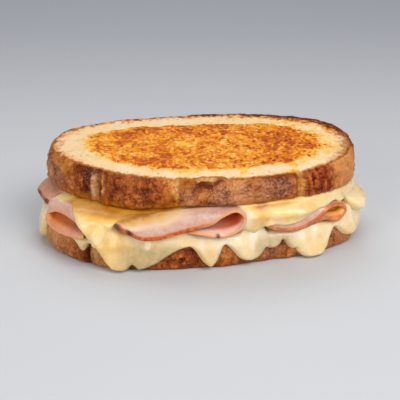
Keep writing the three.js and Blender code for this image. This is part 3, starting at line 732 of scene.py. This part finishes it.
def dress_upper_slice(material):
    rings, s, share, inset, relief = slice_rings(
        upper_rim, UPPER_SCARS, UPPER_RIDGES, underside_at, UPPER_SLICE_TOP, 1, torn_hollow)
    near, span, spans = upper_rim.near, upper_rim.span, upper_rim.spans
    wobble = 0.5 * noise(rings, 5, 17)

    def streak(place, lean, low_width, high_width):
        """A pale streak up the crust, with its widths at the slice's underside and top."""
        return near(s - lean * (1 - share), place, lerp(low_width, high_width, share**2), 3)

    pale = np.clip(np.max([
        streak(47.6, -0.4, 1.9, 1.0) * smooth(0.9, 0.74, share + 0.05 * wobble),
        streak(53.4, 1.4, 0.8, 0.5) * smooth(0.94, 0.86, share) * smooth(0.3, 0.5, share) * 0.6,
        streak(90.6 + wobble, 3.4, 0.8, 4.2) * smooth(0.12, 0.4, share),
        streak(156.8, 0, 1.9, 1.5) * (0.8 + 0.4 * wobble),
        0.65 * span(s, 102.5, 112, 1.2) * smooth(0.87, 0.93, share),
        0.9 * near(s, 252, 2.2),
        0.9 * near(s, 331, 2.2),
    ], axis=0), 0, 1)
    torn = torn_fold(s, share)
    # Red-brown under the torn lip: painted shade in the pit below it.
    shade_under_lip = 0.8 * span(s, 102, 109, 1.5) * smooth(0.6, 0.74, share) * smooth(0.92, 0.85, share)
    red = smooth(0.5, 1, 1.5 - pale) * np.maximum(torn + shade_under_lip, spans(
        s - 5 * (1 - share), (0.8, 33, 40, 2), (0.9, 50, 54, 2), (0.35, 56, 80, 2), (0.85, 80, 88, 2),
        (0.45, 129, 153, 2), (1, 157, 175, 2), (0.8, 236, 249, 2), (0.9, 316, 328, 2), (0.8, 392, 402, 2)))
    flour = smooth(1, 0.8, share) * (1 - torn) * spans(
        s, (0.8, 110, 130, 5), (0.7, 133, 150, 5), (0.5, 10, 26, 5), (0.8, 96, 101, 5), (0.8, 268, 300, 5),
        (0.6, 345, 372, 5), (0.35, 186, 212, 5), (1, 44.5, 51, 1.5))
    soak = spans(s, (1, 24, 96, 8), (0.8, 122, 150, 5), (0.7, 262, 340, 12)) * smooth(
        0.34, 0.06, share + 0.1 * wobble)
    soak = soak + spans(s, (0.9, 95, 101.5, 1.6), (0.5, 24, 34, 3)) * smooth(0.5, 0.85, share)
    soak = soak + spans(s, (0.45, 86, 94, 2)) + 0.35 * smooth(0.12, 0, share)
    tint = spans(
        s, (1, 175, 207, 9), (-0.1, 130, 153, 6), (-0.3, 58, 84, 8), (0.2, 0, 33, 8), (-0.9, 36, 44, 3),
        (0.6, 120, 136, 5), (0.3, 93, 106, 4))

    x, y = rings[..., 0], rings[..., 1]
    top = inset > 0
    flat = point(x, y, 0)
    scorched = sum(
        strength * bell(x - at_x, wide) * bell(y - at_y, deep)
        for at_x, at_y, wide, deep, strength in SCORCHED
    )
    from_pan = 9.6 + 12 * smooth(-34, -74, x) + 8 * smooth(34, 76, x) + 11 * smooth(10, 36, y)
    from_pan = from_pan + 3.4 * sum(noise(flat, 14 / 2**i, 8 + i) / 2**i for i in range(3))
    soft = lerp(8, 3.4, smooth(5, 30, y)) + 4 * smooth(20, 60, x) + 4 * smooth(-30, -65, x)
    toast = np.max([
        top * smooth(from_pan - soft, from_pan + soft, inset),
        0.3 * smooth(20, 55, x) * smooth(2, 8, inset),
        0.6 * top * near(s, 153.5, 4) * smooth(6, 2, inset),
    ], axis=0)
    holes = 4 * pits(flat, 2.6, 0.8, 0.7, 21) * span(s, 47, 68, 3) * smooth(5, 2.5, inset)
    holes = holes + 2.2 * smooth(20, 45, x) * smooth(5, 25, y)
    ring_piece("bread_upper", rings, {
        "face": np.where(top, smooth(0.1, 0.7, inset), smooth(0.5, 2, -inset)),
        "pale": pale,
        "red": np.clip(red, 0, 1),
        "flour": np.clip(flour, 0, 1),
        "soak": np.clip(soak, 0, 1),
        "toast": toast,
        "rim": np.where(top, inset - holes, 9),
        "streaky": smooth(10, -25, x),
        "back": np.max([smooth(0, 25, y), 0.6 * smooth(-56, -72, x), 0.5 * smooth(60, 76, x)], axis=0) * top,
        "relief": relief,
        "tint": np.where(top, scorched * smooth(2, 6, inset), tint),
    }, material)


def dress_lower_slice(material):
    rings, s, share, inset, relief = slice_rings(
        lower_rim, LOWER_SCARS, LOWER_RIDGES, lambda x: 0 * x, LOWER_SLICE_TOP, 0, pore)
    near, spans = lower_rim.near, lower_rim.spans
    red = spans(
        s, (0.8, 49, 54, 3), (0.35, 86, 112, 3), (0.25, 112, 140, 3), (0.4, 140, 160, 3),
        (0.4, 178, 200, 3), (0.7, 250, 268, 3), (0.6, 330, 350, 3))
    flour = spans(
        s, (0.5, 20, 40, 5), (0.4, 60, 72, 4), (0.5, 285, 312, 6), (0.5, 165, 200, 6),
        (0.45, 136, 156, 5))
    ring_piece("bread_lower", rings, {
        "face": smooth(0.5, 2, np.abs(inset)),
        "pale": 0.5 * near(s, 262, 2) + 0.5 * near(s, 352, 2) + spans(s, (0.4, 56, 66, 2)),
        "red": np.clip(red, 0, 1),
        "flour": flour,
        "soak": 0.3 * smooth(0.8, 1, share) * (inset == 0),
        "toast": smooth(9, 15, -inset),
        "rim": np.where(inset == 0, 9, np.abs(inset)),
        "streaky": 1,
        "back": 0,
        "relief": relief,
        # Darker in the deep pore: painted shade in the hole.
        "tint": spans(s, (0.9, 8, 48, 6), (0.3, 150, 210, 8)) - 3 * pore(s, share),
    }, material)


# ---- Cheese ----


def both_outlines(s, out=0.0):
    """The lower outline's points at s, and the upper outline's points that belong to them."""
    return lower_rim.at(s, out), upper_rim.at(s * upper_rim.length / lower_rim.length, out)


def side_at(s, z, out):
    """Points of the filling's side: it leans from the lower slice's outline to the upper slice's."""
    return raised(lerp(*both_outlines(s, out), smooth(*DRAPE, z)[..., None]), z)


cheese_places = lower_rim.columns()
cheese_edge = side_at(cheese_places, np.full(AROUND, FILLING_MIDDLE), 0)
cheese_underside = underside_at(cheese_edge[:, 0])


def bareness(s, stretches):
    return np.max([lower_rim.span(s, *stretch) for stretch in stretches], axis=0)


def hem_at(s, drips, rest):
    """Height of the hem: rest between drips, and a smooth bell down to each tip."""
    height = rest + 0 * s
    for place, tip, before, after, _, roundness in drips:
        share = np.clip(np.abs(lower_rim.relative(s, place, before, after)), 0, 1)
        height = np.minimum(height, rest - (rest - tip) * (1 + np.cos(np.pi * share**roundness)) / 2)
    return height


def extra_thickness(s, drips):
    return np.max([0 * s] + [
        extra * bell(lower_rim.relative(s, place, before, after), 0.62)
        for place, _, before, after, extra, _ in drips
    ], axis=0)


def with_neighbours(table, axis):
    return [np.roll(table, 1, axis), table, np.roll(table, -1, axis)]


class Reach:
    """How far the ham stands out from the filling's side, by place on the lower outline and height."""

    PARTS = 12  # the ham's points are looked at in so many parts, to save memory
    ROWS = 80
    ROW_HEIGHT = 0.5
    NONE = -3.0

    def __init__(self, sheets):
        columns = round(lower_rim.length)
        self.spacing = lower_rim.length / columns
        table = np.full((columns, self.ROWS), self.NONE)
        places = np.arange(columns) * self.spacing
        low, high = both_outlines(places)
        for points in np.array_split(np.vstack([sheet.reshape(-1, 3) for sheet in sheets]), self.PARTS):
            line = lerp(low, high, smooth(*DRAPE, points[:, 2])[:, None, None])
            column = np.linalg.norm(points[:, None, :2] - line, axis=-1).argmin(1)
            start, end = (side_at(places[column], points[:, 2], out) for out in (0, 1))
            row = np.clip((points[:, 2] / self.ROW_HEIGHT).astype(int), 0, self.ROWS - 1)
            np.maximum.at(table, (column, row), ((points - start) * (end - start)).sum(-1))
        table = self.grown(table, 1)
        self.table = self.blurred(table, 2)
        self.soft_table = self.blurred(self.grown(table, 3), 22)

    @staticmethod
    def grown(table, times):
        for axis in (0,) * times + (1,) * times:
            table = np.max(with_neighbours(table, axis), axis=0)
        return table

    @staticmethod
    def blurred(table, times):
        for axis in (0, 1) * times:
            table = sum(with_neighbours(table, axis)) / 3
        return table

    def look_up(self, table, s, z):
        x = np.mod(s, lower_rim.length) / self.spacing
        y = np.clip(z / self.ROW_HEIGHT - 0.5, 0, self.ROWS - 1.001)
        i, j = np.floor(x).astype(int), np.floor(y).astype(int)
        near, far = i % len(table), (i + 1) % len(table)
        low = lerp(table[near, j], table[far, j], x - i)
        return lerp(low, lerp(table[near, j + 1], table[far, j + 1], x - i), y - j)

    def at(self, s, z):
        """The reach itself, and under the tongue of cheese a softer one that evens out the ham."""
        soft = lower_rim.span(s, 44, 70, 5)
        return lerp(self.look_up(self.table, s, z), self.look_up(self.soft_table, s, z), soft)


def distance_to_hem(hem, z):
    """Distance from places of the unrolled skirt, shape (rows, columns), to its hem line."""
    spacing = lower_rim.length / AROUND
    steps = range(-HEM_WINDOW, HEM_WINDOW + 1)
    return np.min([np.hypot(step * spacing, z - np.roll(hem, step)) for step in steps], axis=0)


def fall_away(z, roof, radius=2.4):
    """How far a skirt's shoulder rounds off inwards below its roof."""
    return radius * (1 - np.sqrt(1 - np.clip((z - roof + radius) / radius, 0, 1) ** 2))


def cheese_rings(high, under, hem, inner, outer, round_to, seat=None):
    """A slab with a skirt as rings from its floor's middle, round the hem and up to its roof's middle.
    high, under and hem are heights for each of the columns; inner, outer and seat are functions of place
    and height. The hem rounds off to the inner side, or to seat where it lies on other cheese."""
    s = cheese_places
    low = np.minimum(under - 0.15, hem)
    middle = cheese_edge * (0.4, 0.4, 0)
    z = lerp(low, np.maximum(high - 0.2, low + 0.3), np.linspace(0, 1, SKIRT_ROWS)[:, None] ** 1.15)
    hem_distance = distance_to_hem(hem, z)
    rounded = rounding(hem_distance, round_to)
    rounded[0] = 0.08
    distances = np.broadcast_to(s, z.shape)
    full = outer(distances, z) - fall_away(z, high)
    out = lerp(np.minimum(inner(distances, z) + 0.25, full), full, rounded)
    if seat is not None:
        seat_out, seated = seat(distances, z)
        out = lerp(out, lerp(seat_out, full, smooth(0, 4.2, hem_distance)), seated)
    rings = [
        middle + (0, 0, 1) * under[:, None],
        side_at(s, under, inner(s, under) - 2.2),
        *(side_at(s, lerp(low + 0.02, under - 0.1, t), inner(s, lerp(low, under, t)))
          for t in np.linspace(1, 0, 7)),
        *side_at(distances, z, out),
        side_at(s, np.maximum(high, low + 0.4), np.minimum(out[-1], 0) - 6),
        middle + (0, 0, 1) * high[:, None],
    ]
    return np.array(rings), np.broadcast_to(s, (len(rings), AROUND))


# Top of the lower cheese where the ham folds open or lies right on it: (place, height)
LOW_ROOFS = [
    (15, 24), (20, 15.2), (55, 15.4), (59, 24), (97, 24), (112, 18.6), (131, 18), (136, 24), (141, 24),
    (144, 21), (147.5, 17.2), (160, 16.6), (167, 18), (172, 19.4), (176, 18), (184, 16.8), (190, 17.5),
    (195, 24),
]
# Where the tongue of yellow cheese runs into the lower cheese, which swells out there: (place, height,
# thickness of the swelling, its half width, its half height)
TONGUE_FOOT = (61.5, 13.5, 2.2, 6.5, 6)


def lower_hem(s):
    hem = hem_at(s, LOWER_DRIPS, LOWER_ARCH)
    hem = hem - 1.1 * smooth(2, 6, hem)
    return lerp(hem, LOWER_SLICE_TOP + 0.2, bareness(s, LOWER_BARE))


def ripples(s, z, seed):
    """Soft runs and folds of melted cheese, drawn out downwards."""
    unrolled = point(s, 0.35 * z, 0)
    return 0.6 * noise(unrolled, 9, seed) + 0.25 * noise(unrolled, 4.6, seed + 1)


def runs(s, z):
    """Folds of each drip of the lower cheese, which draw together towards its tip."""
    total = 0 * z
    for place, tip, before, after, _, _ in LOWER_DRIPS:
        drawn = lower_rim.offset(s, place) / lerp(0.3, 1, smooth(tip - 2, LOWER_ARCH + 5, z))
        share = lower_rim.relative(s, place, before, after)
        total = total + noise(point(drawn, 0.08 * z, place), 4.2, 51) * np.clip(1 - share**2, 0, 1)
    return total


def lower_outer(s, z):
    """How far the lower cheese stands out from the outline."""
    foot = 1 - smooth(2, 13, z - lower_hem(s))
    full = LOWER_SKIRT + extra_thickness(s, LOWER_DRIPS) * (0.25 + 0.75 * foot)
    full = full + ripples(s, z, 21) + 0.26 * runs(s, z)
    full = full * (1 - 0.5 * smooth(LOWER_SLICE_TOP - 4, 20, z))
    place, height, thickness, half_width, half_height = TONGUE_FOOT
    full = full + thickness * lower_rim.near(s, place, half_width) * bell(z - height, half_height)
    return lerp(full, -1.5, bareness(s, LOWER_BARE))


def dress_lower_cheese(material):
    near, spans = lower_rim.near, lower_rim.spans
    high = np.minimum(cheese_underside - 9.4, through(LOW_ROOFS, cheese_places))
    high = high + 4 * near(cheese_places, 65, 5)
    under = np.full(AROUND, LOWER_SLICE_TOP - 0.5)
    hem = lower_hem(cheese_places)
    rings, s = cheese_rings(high, under, hem, lambda s, z: -1.2 + 0 * z, lower_outer, 2.6)
    z = rings[..., 2]
    # Paler at the top as painted highlight on the lit shoulder under the ham, and yellower down towards the
    # tips.
    butter = 0.2 + 0.2 * smooth(15, 10, z) + 0.08 * smooth(8, 1, z)
    butter = butter + spans(s, (0.12, 0, 15, 4), (-0.14, 140, 165, 5), (0.12, 58, 74, 4))
    butter = butter + 0.3 * near(s, TONGUE_FOOT[0], 7) * smooth(8, 18, z)
    # Greyer where the cheese is so thin that the crust shows through; the stretch from 58 to 76, on the
    # swelling under the tongue, is painted shade under the ham's rim.
    clear = sum(spans(s, stretch) * smooth(high, low, z) for stretch, high, low in (
        ((1, 72, 102, 5), 18, 12), ((0.8, 139, 160, 4), 19, 13), ((0.25, 106, 134, 5), 15, 9),
        ((0.5, 44, 57, 3), 17, 15), ((0.4, 58, 76, 4), 9, 13),
    ))
    # Whitish streaks along the drips' folds and a whitish patch from 118 to 150: partly milky fat, partly
    # painted highlight.
    drawn = runs(s, z) + 0.5 * noise(point(s + 0.6 * z, 0.3 * z, 0), 6, 53)
    milk = 0.75 * smooth(-0.3, 0.8, drawn) * smooth(5, 14, z) * spans(s, (1, 90, 225, 8))
    milk = milk + spans(s, (0.25, 118, 150, 6))
    # Amber and duller on the swelling under the tongue: painted shade under the ham's rim, which also takes
    # off the gloss.
    oil = spans(s, (0.4, 60, 78, 4)) * smooth(9, 13, z)
    values = {"butter": butter, "oil": oil, "clear": clear, "milk": milk}
    ring_piece("cheese_lower", rings, values, material)


# Hems of the tongue on the left and of the bulge over the ham on the right: (place, height)
TRACED_HEMS = [
    [
        (34, 29.5), (40, 28), (46.5, 24.8), (49, 22.6), (53, 19), (55, 16.4), (56.5, 14), (58, 13.2),
        (60.5, 12.6), (63, 12.4), (64.5, 13.4), (65.6, 16), (66.4, 20.5), (67.2, 23.2), (70, 25.2),
        (75, 26.6), (82, 27.4),
    ],
    [
        (126, 32), (128, 28.5), (129.3, 24), (131, 21), (133.5, 19.4), (136, 17.8), (139, 16.4), (141.5, 17),
        (143.2, 18.6), (145, 20.6), (148, 21.2), (152, 20.2), (156, 19.8), (160, 20.2), (163, 21.4),
        (166, 23.8), (170, 25.8), (176, 26.8), (182, 27.2), (187, 27.2),
    ],
]
# Left edge of the tongue of cheese over the ham: (height, place)
TONGUE_EDGE = [(10, 56), (15, 55), (20, 51.5), (25, 45.5), (28.2, 39), (31, 33)]


def film_over_ham(s, z, depth):
    """Thickness of the upper cheese over the ham, below 0 where the ham shows."""
    span = lower_rim.span
    left = np.interp(z, *np.array(TONGUE_EDGE).T)
    tongue = smooth(left - 1.5, left + 1.5, s) * smooth(77, 61, s)
    thick = 1.5 * np.max([tongue, span(s, 133, 181, 3), span(s, 190, 212, 3)], axis=0)
    glaze = 0.5 * smooth(4.5, 1.5, depth) * span(s, 18, 36, 4)
    hidden = 2.6 * smooth(66, 78, s) * smooth(112, 108, s)
    return np.maximum(thick, glaze) * 1.7 - 1.3 - hidden


def upper_hem(s):
    rest = cheese_underside - 2.75 - 3 * lower_rim.span(s, 66, 98, 4)
    highest = cheese_underside - 0.9
    hem = np.minimum(hem_at(s, UPPER_FLOWS, rest), highest)
    for knots in TRACED_HEMS:
        places, heights = np.array(knots).T
        traced = sum(np.interp(s + shift, places, heights) for shift in (-1, -0.5, 0, 0.5, 1)) / 5
        inside = lower_rim.span(s, places[0] + 2, places[-1] - 2, 2)
        hem = lerp(hem, np.minimum(traced, highest), inside)
    return hem


def upper_folds(s, z):
    return noise(point(s + 0.9 * z, 0.3 * z, 0), 9, 35)


def dress_upper_cheese(material, reach):
    span, spans = lower_rim.span, lower_rim.spans
    bare = bareness(cheese_places, UPPER_BARE)

    def outer(s, z):
        depth = cheese_underside - z
        calm = 1 - 0.9 * span(s, 34, 72, 5)
        wavy = ripples(s, z, 31) + 0.6 * upper_folds(s, z)
        full = UPPER_SKIRT + extra_thickness(s, UPPER_FLOWS) + wavy * calm
        shoulder = 1 + 0.7 * noise(point(s, 0, 0), 13, 36) + 2.5 * span(s, 192, 226, 5)
        own = lerp(0.9, full, smooth(shoulder, shoulder + 6, depth))
        own = own - 6.5 * smooth(65, 78, s) * smooth(112, 108, s)
        tongue = span(s, 48, 68, 3)
        over_lower = smooth_max(own, lower_outer(s, z) + 0.3, 0.5 + 1.1 * tongue)
        own = lerp(own, over_lower, smooth(24, 20, z))
        over_ham = reach.at(s, z) + film_over_ham(s, z, depth)
        return lerp(smooth_max(own, over_ham, 0.35 + 0.9 * tongue), -7.4, bare)

    def seat(s, z):
        under_tongue = span(s, 57, 72, 2) * smooth(24, 19, z)
        under_bulge = span(s, 128, 143, 2) * smooth(22, 19, z)
        return lower_outer(s, z) - 0.5, np.maximum(under_tongue, under_bulge)

    def inner(s, z):
        over_ham = np.maximum(-1, reach.at(s, z) - 1.5)
        return lerp(lerp(-1, over_ham, span(s, 24, 66, 3)), -9, bare)

    under = cheese_underside - 3.15 + spans(cheese_places, (2.3, 24, 52, 4))
    hem = upper_hem(cheese_places)
    rings, s = cheese_rings(cheese_underside + 0.6, under, hem, inner, outer, 2.8, seat)
    z = rings[..., 2]
    depth = underside_at(rings[..., 0]) - z
    butter = 0.5 + spans(s, (0.3, 52, 100, 8)) * smooth(20, 29, z) + spans(s, (0.02, 134, 200, 6))
    oil = smooth(5.2, 0.8, depth) * spans(s, (1, 32, 96, 6), (0.5, 128, 156, 6))
    oil = oil + 0.4 * lower_rim.near(s, 137, 4) * smooth(12, 7, depth) + spans(s, (0.36, 134, 166, 6))
    # Whitish along the folds below the bread and from 118 to 134: partly milky fat, partly painted highlight.
    milk = smooth(-0.1, 0.5, upper_folds(s, z)) * smooth(2.5, 6, depth)
    milk = milk * spans(s, (0.6, 134, 172, 6), (0.7, 176, 225, 8))
    milk = milk + spans(s, (1.1, 118, 134, 4)) * smooth(1, 5, depth)
    values = {"butter": butter, "oil": oil, "clear": 0, "milk": milk}
    ring_piece("cheese_upper", rings, values, material)


# ---- Ham ----


def outline_through(x, y):
    """Where rays from the middle through points leave the upper outline."""
    outline = upper_rim.points[:-1]
    angles = np.arctan2(outline[:, 1], outline[:, 0])
    return between(np.arctan2(y, x), angles, outline, period=2 * np.pi)


def rows_between(rows, counts):
    """Straight rows between given rows; counts says how many steps lie between each pair."""
    made = []
    for a, b, count in zip(rows, rows[1:], counts):
        made.extend(lerp(a, b, i / count) for i in range(count))
    return made + [rows[-1]]


def draped(start, knee, end, count):
    """Rows from end to start of a curve that bends at the knee."""
    return [
        start * (1 - t) ** 2 + knee * 2 * t * (1 - t) + end * t**2 for t in np.linspace(1, 0, count)
    ]


def folded_ham(rim, turn, lift, press):
    """Rows of a folded slice from its rim in front, under the bread, to its rim at the back."""
    path = path_through(rim, HAM_COLUMNS)
    u = np.linspace(0, 1, HAM_COLUMNS)
    bend = u[np.argmax(turn * path[:, 0])]
    layer = smooth(bend - 0.07, bend + 0.07, u)
    px, py, pz = path.T
    pressed = underside_at(px * 0.85) - press - FOLD_GAP * layer
    inner = point(px * 0.9, py * HAM_TUCK, pressed)
    open_lip = np.maximum(lerp(pressed, pz, 0.7), LOWER_SLICE_TOP + 1.8)
    lip = point(px * 0.97, py * 0.88, lerp(underside_at(px * 0.97) - lift, open_lip, layer))
    knee = lerp(lip, path, (0.85, 0.85, 0.12))
    edge = outline_through(inner[:, 0], np.abs(inner[:, 1]) * 1.25)
    reach = np.linalg.norm(edge, axis=1)
    waves = 1 + 0.5 * np.sin(11 * u + len(rim))
    back = [
        raised(edge * ((reach + out) / reach)[:, None], inner[:, 2] - drop * waves)
        for out, drop in ((-3, 0.2), (2.6, 1.6), (4.4, 4.4))
    ]
    tucked = rows_between([lip, inner, inner * (1, -1, 1), *back], [8, 14, 8, 8, 6])
    return np.array(draped(lip, knee, path, DRAPED_ROWS) + tucked[1:]), bend


def end_ham(rim, press):
    path = path_through(rim, HAM_COLUMNS // 2)
    px, py, _ = path.T
    start = point(px * 0.88, py * 0.92, underside_at(px) - press + 0.9)
    knee = raised(lerp(start, path, 0.7), start[:, 2] - 0.3)
    inside_x = start[:, 0] * 0.66
    inside = point(inside_x, start[:, 1] * 0.8 + 4, underside_at(inside_x) - press)
    return np.array(draped(start, knee, path, 24) + rows_between([start, inside], [12])[1:])


def normals_of(grid):
    return unit(np.cross(np.gradient(grid, axis=0), np.gradient(grid, axis=1)))


def outer_face(grid, outer_side):
    """The outer face of a sheet's part in front, where it drapes over the filling."""
    return (grid + normals_of(grid) * outer_side * HAM_THICKNESS / 2)[: DRAPED_ROWS + 2]


def dress_ham(name, form, grid, outer_side, bend, material):
    """A sheet with rounded edges around the rows of its middle surface."""
    rows, columns = grid.shape[:2]
    u = np.linspace(0, 1, columns)
    normal = normals_of(grid)
    from_front = distances_along(grid)
    from_rim = np.minimum(from_front, from_front[-1] - from_front)
    waves = 0.3 * noise(grid, 8, 41) + 0.08 * noise(grid, 3, 42)
    grid = grid + normal * (waves * smooth(9, 0, from_rim) * 0.8)[..., None]
    front_length = distances_along(grid[0])[-1]
    taper = rounding(np.minimum(u, 1 - u) * front_length + 0.15, 2.0)
    half = (HAM_THICKNESS / 2 * taper * lerp(0.8, 1, smooth(0, 4, from_rim)))[..., None]
    angles = np.radians(np.linspace(90, -90, EDGE_RINGS + 2)[1:-1])

    def edge(row, towards):
        """Rings round the sheet's edge, from its one face to its other."""
        outwards = unit(grid[row] - grid[towards])
        return [
            grid[row] + half[row] * (outwards * math.cos(a) + normal[row] * math.sin(a)) for a in angles
        ]

    def round_loop(distances):
        """Distances of the rows for the whole loop round the sheet, with 0 at both edges."""
        at_edge = np.zeros((EDGE_RINGS, columns))
        return np.concatenate([distances[::-1], at_edge, distances, at_edge])

    loop = np.array([
        *(grid + normal * half)[::-1], *edge(0, 1), *(grid - normal * half), *edge(-1, -2)[::-1],
    ])
    rim, gone = round_loop(from_rim), round_loop(from_front)
    over = np.linspace(1, 0, EDGE_RINGS)
    side = np.concatenate([np.ones(rows), over, np.zeros(rows), over[::-1]])[:, None]
    inner = 1 - side if outer_side > 0 else side
    outer = 1 - inner
    seared = lerp(*form["seared"], smooth(bend - 0.12, bend - 0.3, u))
    glaze = 0.2 * outer * smooth(2, 10, gone)
    if name == "ham_end":
        inside, deep, hue, fresh = 0.5, 0, 0, 0
        char = 0.55 + 0.3 * np.sin(19 * u)
    else:
        shift, wide, elsewhere = form["browned_inside"]
        inside = inner * lerp(elsewhere, 1, bell(u - bend - shift, wide))
        # Painted glow of light through the thin ham, deep inside the fold.
        shift, wide, start, end, hue = form["painted_glow_inside"]
        deep = inner * smooth(start, end, gone) * bell(u - bend - shift, wide)
        char = np.max([0 * u] + [bell(u - place, width) for place, width in form["burnt"]], axis=0)
        fresh = 0
    if name == "ham_centre":
        x = loop[..., 0]
        # Near the bread the film darkens to amber: melted fat, and painted shade under the crust's overhang.
        fat_and_shade_under_bread = smooth(9, 1, underside_at(x) - loop[..., 2])
        glaze = np.maximum(glaze, outer * fat_and_shade_under_bread * smooth(6, -32, x))
        # Painted light on the shaded inner face past the bend, the fold's lower lip.
        fresh = inner * smooth(bend - 0.04, bend + 0.08, u)
    values = {
        "rim": rim + 0.6 - 1.1 * seared, "inside": inside, "glaze": glaze, "deep": deep, "fresh": fresh,
        "glow": hue, "char": char, "seared": seared,
    }
    values = {key: np.broadcast_to(value, rim.shape).T for key, value in values.items()}
    ring_piece(name, loop.transpose(1, 0, 2), values, material)


# ---- Room, light and camera ----
IMAGE_WIDTH = 400  # pixels
FOCAL_PIXELS = 1444
SENSOR_WIDTH = 36
CAMERA_TILT = math.radians(22)
CAMERA_DISTANCE = 0.75
AIM = Vector((-0.001, -0.0194, 0.025))


def placed(name, data, place):
    """A camera or a light that points at the sandwich."""
    made = added(name, data)
    made.location = place
    made.rotation_euler = (AIM - Vector(place)).to_track_quat("-Z", "Y").to_euler()
    return made


def make_camera():
    data = bpy.data.cameras.new("camera")
    data.sensor_width = SENSOR_WIDTH
    data.lens = FOCAL_PIXELS / IMAGE_WIDTH * SENSOR_WIDTH
    data.clip_start = 0.05
    back = Vector((0, -math.cos(CAMERA_TILT), math.sin(CAMERA_TILT)))
    bpy.context.scene.camera = placed("camera", data, AIM + back * CAMERA_DISTANCE)


def make_light(name, place, size, watts, tint=(1, 1, 1)):
    data = bpy.data.lights.new(name, "AREA")
    data.shape = "DISK"
    data.size = size
    data.energy = watts
    data.color = tint
    placed(name, data, place)


def make_floor():
    """A pale floor that curves up into a wall behind, darker towards the back."""
    s = Shader("floor")
    depth = s.node("SeparateXYZ", "Y", {"Vector": s.place})
    tone = s.mix(depth.fade(0, 0.5), (206, 208, 212), (164, 167, 174))
    half_width, back, height, radius = 3.0, 2.2, 2.5, 0.8
    bend = [math.radians(90 * i / 12) for i in range(13)]
    profile = [
        (-half_width, 0.0),
        *((back - radius + radius * math.sin(a), radius * (1 - math.cos(a))) for a in bend),
        (back, height),
    ]
    points = [(x, y, z) for y, z in profile for x in (-half_width, half_width)]
    faces = [(2 * i, 2 * i + 1, 2 * i + 3, 2 * i + 2) for i in range(len(profile) - 1)]
    material = s.finish(Base_Color=tone, Roughness=0.6, Specular_IOR_Level=0.2)
    floor = added("floor", smooth_mesh("floor", points, faces, material))


def make_room():
    make_floor()
    world = bpy.data.worlds.new("world")
    world.use_nodes = True
    background = world.node_tree.nodes["Background"]
    background.inputs["Color"].default_value = (0.97, 0.98, 1.0, 1)
    background.inputs["Strength"].default_value = 0.3
    bpy.context.scene.world = world
    bpy.context.scene.view_settings.view_transform = "Standard"
    make_light("key", (0.5, -0.65, 0.9), 0.75, 7.9, (1.0, 0.985, 0.96))
    make_light("back", (-0.1, 0.65, 0.95), 0.9, 5)
    make_light("fill", (-0.6, -0.9, 0.4), 0.7, 4.5)
    make_light("side", (0.9, -0.5, 0.35), 0.6, 1.3)


make_camera()
make_room()
bread = bread_material()
dress_lower_slice(bread)
dress_upper_slice(bread)
ham = ham_material()
sheets = []
for name, form in HAM.items():
    grid, bend = folded_ham(form["rim"], form["turn"], form["lift"], form["press"])
    dress_ham(name, form, grid, -form["turn"], bend, ham)
    sheets.append(outer_face(grid, -form["turn"]))
dress_ham("ham_end", HAM_END, end_ham(HAM_END["rim"], HAM_END["press"]), 1, 0.5, ham)
# The lower cheese takes the darker colours: painted shade.
dress_lower_cheese(cheese_material("cheese_shaded_translucent", *SHADED_TRANSLUCENT_CHEESE))
dress_upper_cheese(cheese_material("cheese_yellow", *YELLOW), Reach(sheets))
